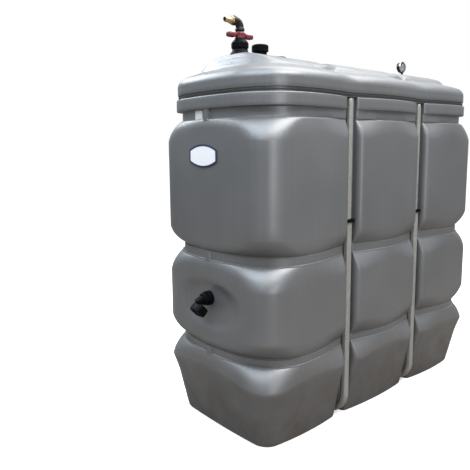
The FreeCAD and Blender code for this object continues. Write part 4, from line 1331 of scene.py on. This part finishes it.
def moulded(name, scale, radius, rubbed, dusty, tones, rough, **values):
    """Moulded plastic: a mottle of the first two tones, the third as dust on faces that look up and the
    fourth on the edges, as rubbed wear and, for black plastic, also a painted edge highlight. The roughness
    follows the mottle."""
    made, tree = material(name)
    grain = use(tree, GRAIN, Scale=scale)
    wear = use(tree, WEAR, Radius=radius, Amount=rubbed)["Mask"]
    dust = use(tree, DUST, Amount=dusty)["Mask"]
    colour = layered(tree, blend(tree, grain["Mottle"], *tones[:2]), (dust, tones[2]), (wear, tones[3]))
    rough = spread(tree, grain["Mottle"], 0.0, 1.0, *rough)
    dress(tree, grain["Height"], 0.0002, Base_Color=colour, Roughness=rough, **values)
    return made


def black_plastic():
    """Dull black plastic with grey edges, partly rubbed wear and partly a painted edge highlight, and a
    little dust.
    """
    # The fourth tone, on the edges, is rubbed wear and also a painted edge highlight.
    tones = ((0.002, 0.002, 0.003), (0.004, 0.004, 0.005), (0.04, 0.038, 0.035), (0.035, 0.035, 0.035))
    return moulded("black plastic", 2200.0, 0.0016, 0.5, 0.02, tones, (0.34, 0.50), Specular_IOR_Level=0.06)


def red_plastic():
    """Dark red plastic, paler where hands rub it."""
    tones = ((0.105, 0.007, 0.016), (0.150, 0.011, 0.022), (0.18, 0.10, 0.10), (0.26, 0.045, 0.055))
    return moulded("red plastic", 2000.0, 0.0022, 0.7, 0.2, tones, (0.30, 0.46))


def dark_iron():
    """Blackened malleable iron, lightly pitted, with rust in the pits."""
    made, tree = material("dark iron")
    place = object_place(tree)
    grain = use(tree, GRAIN, Scale=700.0)
    wear = use(tree, WEAR, Radius=0.0018, Amount=0.8)["Mask"]
    pits = node(tree, "TexVoronoi", Vector=place, Scale=420.0).outputs[0]
    most_rust = 0.45
    rust = times(tree, spread(tree, noise(tree, place, 60.0, 6.0, 0.7), 0.56, 0.72), most_rust)
    colour = blend(tree, grain["Mottle"], (0.018, 0.018, 0.019), (0.036, 0.035, 0.034))
    colour = layered(tree, colour, (rust, (0.075, 0.030, 0.014)), (wear, (0.16, 0.155, 0.15)))
    rough = spread(tree, rust, 0.0, most_rust, 0.42, 0.75)
    metallic = spread(tree, rust, 0.0, most_rust, 0.75, 0.15)
    height = plus(tree, grain["Height"], times(tree, pits, 0.5))
    dress(tree, height, 0.0003, Base_Color=colour, Roughness=rough, Metallic=metallic)
    return made


def brass():
    """Turned brass: fine rings from the lathe, brown in the hollows, bright on the edges."""
    made, tree = material("brass")
    place = object_place(tree)
    along = times(tree, split(tree, place)[0], 2600.0)
    rings = node(tree, "TexNoise", {"noise_dimensions": "1D"}, W=along, Scale=1.0).outputs[0]
    stain = noise(tree, place, 85.0, 5.0, 0.65)
    wear = use(tree, WEAR, Radius=0.0012, Amount=0.8)["Mask"]
    colour = blend(tree, spread(tree, stain, 0.35, 0.7), (0.66, 0.53, 0.33), (0.42, 0.31, 0.17))
    colour = blend(tree, wear, colour, (0.82, 0.71, 0.50))
    rough = spread(tree, stain, 0.3, 0.7, 0.24, 0.46)
    dress(tree, rings, 0.00012, Base_Color=colour, Roughness=rough, Metallic=1.0)
    return made


def galvanised_steel():
    """Dull zinc with small spangles, rolling lines, and pale oxide."""
    made, tree = material("galvanised steel")
    place = object_place(tree)
    cells = node(tree, "TexVoronoi", Vector=place, Scale=110.0).outputs["Color"]
    spangle = node(tree, "SeparateColor", Color=cells).outputs[0]
    cloud = noise(tree, place, 24.0, 5.0, 0.6)
    oxide = times(tree, spread(tree, cloud, 0.42, 0.7), 0.5)
    lines = use(tree, STREAKS, Fineness=500.0, Length=2.0)["Mask"]
    wear = use(tree, WEAR, Radius=0.002, Amount=0.5)["Mask"]
    colour = blend(tree, spangle, (0.27, 0.27, 0.255), (0.32, 0.315, 0.30))
    colour = layered(tree, colour, (oxide, (0.37, 0.36, 0.34)), (wear, (0.56, 0.55, 0.53)))
    rough = spread(tree, cloud, 0.3, 0.7, 0.40, 0.60)
    height = plus(tree, lines, times(tree, spangle, 0.3))
    dress(tree, height, 0.0002, Base_Color=colour, Roughness=rough, Metallic=0.35)
    return made


def painted(name, first, second, rough, relief=0.00008):
    """Smooth paint, card or film with a faint mottle between two near colours."""
    made, tree = material(name)
    grain = use(tree, GRAIN, Scale=1600.0)
    wear = use(tree, WEAR, Radius=0.001, Amount=0.25)["Mask"]
    rubbed = tuple(0.5 * (part + 0.5) for part in second)
    colour = layered(tree, blend(tree, grain["Mottle"], first, second), (wear, rubbed))
    rough = spread(tree, grain["Mottle"], 0.0, 1.0, rough, rough + 0.1)
    dress(tree, grain["Height"], relief, Base_Color=colour, Roughness=rough)
    return made


def gauge_chrome():
    """Polished bezel with finger haze on a black can, parted by the depth along the gauge's axis."""
    made, tree = material("gauge chrome")
    grain = use(tree, GRAIN, Scale=300.0)
    wear = use(tree, WEAR, Radius=0.0008, Amount=0.4)["Mask"]
    parts = split(tree, object_place(tree))
    lean = math.radians(GAUGE_LEAN)
    up = times(tree, maths(tree, "SUBTRACT", parts[2], GAUGE_CENTRE[2] * MM), math.sin(lean))
    along = maths(tree, "SUBTRACT", up, times(tree, parts[1], math.cos(lean)))
    bezel = maths(tree, "GREATER_THAN", along, (GAUGE_HALF_DEPTH - 7.5) * MM)
    metal = blend(tree, grain["Mottle"], (0.50, 0.50, 0.51), (0.62, 0.62, 0.63))
    metal = blend(tree, wear, metal, (0.8, 0.8, 0.8))
    colour = blend(tree, bezel, (0.006, 0.006, 0.007), metal)
    rough = spread(tree, grain["Mottle"], 0.0, 1.0, 0.16, 0.30)
    dress(tree, grain["Height"], 0.00003, Base_Color=colour, Roughness=rough, Metallic=bezel,
          Specular_IOR_Level=0.3)
    return made


# The dial's print in millimetres from its middle, and its marks: how many would fill a turn, the
# share of a step that one takes, and how far to each side of the top they go, in radians
DIAL_BAND = 16.5
MARKS_FROM = 19.5
MARKS_TO = 24.5
DIAL_RING = 25.2
DIAL_STEPS = 24
MARK_SHARE = 0.16
DIAL_ARC = 2.4


def dial_white():
    """Pale dial with a dark band, and on it white marks inside a thin ring, from the radius and
    the angle round the dial's middle."""
    made, tree = material("dial white")
    parts = split(tree, object_place(tree))
    lean = math.radians(GAUGE_LEAN)
    middle = (GAUGE_CENTRE[2] + DIAL_FACE * math.sin(lean)) * MM
    u = maths(tree, "SUBTRACT", parts[0], GAUGE_CENTRE[0] * MM)
    v = maths(tree, "DIVIDE", maths(tree, "SUBTRACT", parts[2], middle), math.cos(lean))
    radius = maths(tree, "SQRT", plus(tree, times(tree, u, u), times(tree, v, v)))
    angle = maths(tree, "ARCTAN2", u, v)

    def between(low, high):
        above = maths(tree, "GREATER_THAN", radius, low * MM)
        return times(tree, above, maths(tree, "LESS_THAN", radius, high * MM))

    beat = maths(tree, "ABSOLUTE", maths(tree, "SINE", times(tree, angle, DIAL_STEPS / 2)))
    ticks = times(tree, maths(tree, "LESS_THAN", beat, MARK_SHARE), between(MARKS_FROM, MARKS_TO))
    print_mask = maths(tree, "MAXIMUM", ticks, between(MARKS_TO, DIAL_RING))
    print_mask = times(tree, print_mask, maths(tree, "LESS_THAN", maths(tree, "ABSOLUTE", angle), DIAL_ARC))
    band = maths(tree, "GREATER_THAN", radius, DIAL_BAND * MM)
    grain = use(tree, GRAIN, Scale=1600.0)
    colour = layered(
        tree, blend(tree, grain["Mottle"], (0.42, 0.42, 0.41), (0.50, 0.50, 0.48)),
        (band, (0.07, 0.07, 0.075)),
        (print_mask, (0.75, 0.75, 0.73)),
    )
    rough = spread(tree, grain["Mottle"], 0.0, 1.0, 0.4, 0.5)
    dress(tree, grain["Height"], 0.00005, Base_Color=colour, Roughness=rough)
    return made


def clear_glass():
    """Thin flat glass with a faint haze of dust."""
    made, tree = material("gauge glass")
    dust = use(tree, DUST, Amount=0.2)["Mask"]
    colour = blend(tree, dust, (0.96, 0.97, 0.97), (0.75, 0.74, 0.72))
    rough = spread(tree, noise(tree, object_place(tree), 140.0, 4.0), 0.4, 0.8, 0.02, 0.12)
    dress(tree, Base_Color=colour, Roughness=rough, Transmission_Weight=1.0, IOR=1.45)
    return made


# The tank and its fittings

def build():
    """Every piece, in the finish of its own slot, over the node whose place it takes."""
    finishes = {
        "grey_polyethylene": grey_polyethylene(),
        "black_plastic": black_plastic(),
        "red_plastic": red_plastic(),
        "dark_iron": dark_iron(),
        "brass": brass(),
        "galvanised_steel": galvanised_steel(),
        "gauge_chrome": gauge_chrome(),
        "dial_white": dial_white(),
        "needle_black": painted("needle black", (0.01, 0.01, 0.01), (0.02, 0.02, 0.02), 0.4),
        "gauge_glass": clear_glass(),
        "badge_white": painted("badge white", (0.80, 0.81, 0.84), (0.88, 0.89, 0.92), 0.25),
        "badge_navy": painted("badge navy", (0.012, 0.016, 0.060), (0.020, 0.025, 0.085), 0.3),
    }

    def cover(name, shape, slot, replaced, **given):
        return piece(name, shape, finishes[slot], slot, [replaced], **given)

    cover("container_skin", container_shape(), "grey_polyethylene", "outer_container", crease=34)
    cover("roof_skin", roof_shape(), "grey_polyethylene", "lid", crease=34)
    # Painted shade: the inner tank's edge in the gap under the roof gets a near-black copy of the grey
    # polyethylene, standing in for the shade in that gap.
    edge = ring_band(LID, RIM_TOP + LIP_HEIGHT, LID_BOTTOM - LIP_HEIGHT, 2.0, LEDGE)
    dark = painted("painted shade polyethylene", (0.016, 0.017, 0.018), (0.028, 0.029, 0.031), 0.5)
    piece("inner_tank_edge", edge, dark, "grey_polyethylene", ["inner_flange"])
    for side, at in (("left", -GROOVE_AT), ("right", GROOVE_AT)):
        cover("strap_%s_under" % side, lower_strap(at), "galvanised_steel", "strap_%s_lower" % side)
        for face, way in (("front", -1), ("rear", 1)):
            name = "%s_%s" % (side, face)
            cover("strap_%s_upper" % name, upper_strap(at, way), "galvanised_steel", "strap_" + name)
            clip = "clip_" + name
            bevelled(cover(clip + "_sleeve", strap_clip(clip), "black_plastic", clip), 2.0)
    cover("valve_base", valve_flange(), "black_plastic", "valve_flange")
    cover("valve_union_nut", valve_union(), "black_plastic", "valve_union")
    cover("valve_stem", valve_spindle(), "dark_iron", "valve_spindle")
    cover("valve_grip", valve_handle(), "red_plastic", "valve_handle", body="valve_handle")
    cover("elbow_bend", suction_elbow(), "dark_iron", "suction_elbow")
    cover("hose_nipple", brass_nipple(), "brass", "brass_nipple")
    cover("filler_pipe", filler_neck(), "black_plastic", "filler_neck")
    cover("filler_screw_cap", filler_cap(), "black_plastic", "filler_cap", body="filler_cap")
    cover("inspection_bung", inspection_plug(), "black_plastic", "inspection_plug")
    cover("gauge_foot", gauge_stem(), "black_plastic", "gauge_stem")
    cover("gauge_can", gauge_case(), "gauge_chrome", "gauge_case")
    cover("gauge_face", gauge_dial(), "dial_white", "gauge_dial")
    cover("gauge_pointer", gauge_needle(), "needle_black", "gauge_needle")
    cover("gauge_window", gauge_glass(), "gauge_glass", "gauge_glass")
    cover("outlet_base", outlet_socket(), "black_plastic", "outlet_socket")
    cover("outlet_grip", outlet_knob(), "black_plastic", "outlet_knob")
    cover("outlet_cap", outlet_hood(), "black_plastic", "outlet_hood")
    cover("badge_face", badge_plate(), "badge_white", "badge_plate")
    cover("badge_rim", badge_border(), "badge_navy", "badge_border")
    film = painted("film white", (0.60, 0.60, 0.60), (0.70, 0.70, 0.69), 0.35)
    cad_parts["data_plate"].data.materials.clear()
    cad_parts["data_plate"].data.materials.append(film)


# Stage: floor, light and camera

EYE = Vector((-2.1751, -1.7827, 1.2406))
YAW, PITCH, ROLL = math.radians(40.706), math.radians(7.744), math.radians(-0.424)
FRAME_PIXELS = 470.0
FOCAL_PIXELS = 538.51
CENTRE_PIXEL = (237.4, 220.5)
SENSOR = 36.0
FLOOR_HALF = 60.0


def camera():
    """Camera at the photograph's place: yaw from +Y towards +X, pitch downwards, roll about its
    axis."""
    ahead = Vector((math.sin(YAW) * math.cos(PITCH), math.cos(YAW) * math.cos(PITCH), -math.sin(PITCH)))
    level = Vector((math.cos(YAW), -math.sin(YAW), 0.0))
    above = level.cross(ahead)
    right = level * math.cos(ROLL) + above * math.sin(ROLL)
    up = above * math.cos(ROLL) - level * math.sin(ROLL)
    lens = bpy.data.cameras.new("camera")
    lens.sensor_width = SENSOR
    lens.lens = FOCAL_PIXELS / FRAME_PIXELS * SENSOR
    lens.shift_x = (FRAME_PIXELS / 2 - CENTRE_PIXEL[0]) / FRAME_PIXELS
    lens.shift_y = (CENTRE_PIXEL[1] - FRAME_PIXELS / 2) / FRAME_PIXELS
    lens.clip_start, lens.clip_end = 0.05, 200.0
    eye = bpy.data.objects.new("camera", lens)
    rows = [(right[k], up[k], -ahead[k], EYE[k]) for k in range(3)]
    eye.matrix_world = Matrix((*rows, (0, 0, 0, 1)))
    bpy.context.scene.collection.objects.link(eye)
    bpy.context.scene.camera = eye


def softbox(name, place, target, wide, tall, watts, colour):
    """A soft rectangular light at a place, turned to its target."""
    lamp = bpy.data.lights.new(name, "AREA")
    lamp.shape = "RECTANGLE"
    lamp.size, lamp.size_y = wide, tall
    lamp.energy = watts
    lamp.color = colour
    thing = bpy.data.objects.new(name, lamp)
    thing.location = place
    thing.rotation_mode = "QUATERNION"
    thing.rotation_quaternion = (Vector(target) - Vector(place)).to_track_quat("-Z", "Y")
    bpy.context.scene.collection.objects.link(thing)


def lights():
    """Three wide soft lights from above, over the roof, the long side and the cool end, a small
    one low at the near corner, a cool one behind, and a sky that is bright overhead and dim at
    the horizon. The camera itself sees plain white."""
    softbox("overhead", (1.2, -0.4, 4.8), (0, 0, 1.2), 4.6, 3.6, 205, (1.0, 0.985, 0.96))
    softbox("front", (-0.3, -2.8, 4.7), (-0.2, 0, 1.0), 3.8, 2.0, 190, (1.0, 0.99, 0.98))
    softbox("left", (-3.1, -0.5, 4.5), (-0.6, 0, 1.0), 4.0, 3.0, 158, (0.80, 0.90, 1.0))
    softbox("side", (-2.1, -4.2, 1.5), (-0.4, 0, 0.8), 0.9, 2.4, 30, (0.97, 0.98, 1.0))
    softbox("rear", (-1.2, 3.4, 3.8), (-0.6, 0, 1.0), 2.6, 1.8, 110, (0.86, 0.93, 1.0))
    world = bpy.data.worlds.new("studio")
    bpy.context.scene.world = world
    world.use_nodes = True
    tree = world.node_tree
    glow = spread(tree, split(tree, node(tree, "TexCoord").outputs["Generated"])[2], 0.05, 0.95, 0.40, 1.1)
    seen = node(tree, "LightPath").outputs["Is Camera Ray"]
    strength = times(tree, glow, maths(tree, "SUBTRACT", 1.0, seen))
    sky = tree.nodes["Background"].inputs
    fill(tree, sky["Color"], blend(tree, seen, (0.90, 0.95, 1.0), (1.0, 1.0, 1.0)))
    fill(tree, sky["Strength"], plus(tree, strength, seen))


def floor():
    """Wide pale floor. The camera sees it nearly white, with the tank's soft shadow; the tank
    itself gets the warm, dim bounce of a brown floor."""
    made, tree = material("studio floor")
    cloud = noise(tree, object_place(tree), 1.5, 3.0)
    pale = blend(tree, cloud, (0.80, 0.795, 0.785), (0.84, 0.835, 0.825))
    seen = node(tree, "LightPath").outputs["Is Camera Ray"]
    dress(tree, Base_Color=blend(tree, seen, (0.19, 0.165, 0.14), pale), Roughness=0.8,
          Emission_Color=(1.0, 1.0, 1.0), Emission_Strength=times(tree, seen, 0.5))
    corners = [(x * FLOOR_HALF, y * FLOOR_HALF, 0.0) for x, y in ((-1, -1), (1, -1), (1, 1), (-1, 1))]
    mesh = bpy.data.meshes.new("floor")
    mesh.from_pydata(corners, [], [(0, 1, 2, 3)])
    mesh.materials.append(made)
    ground = bpy.data.objects.new("floor", mesh)
    bpy.context.scene.collection.objects.link(ground)


build()
floor()
lights()
camera()
bpy.context.scene.view_settings.view_transform = "Standard"
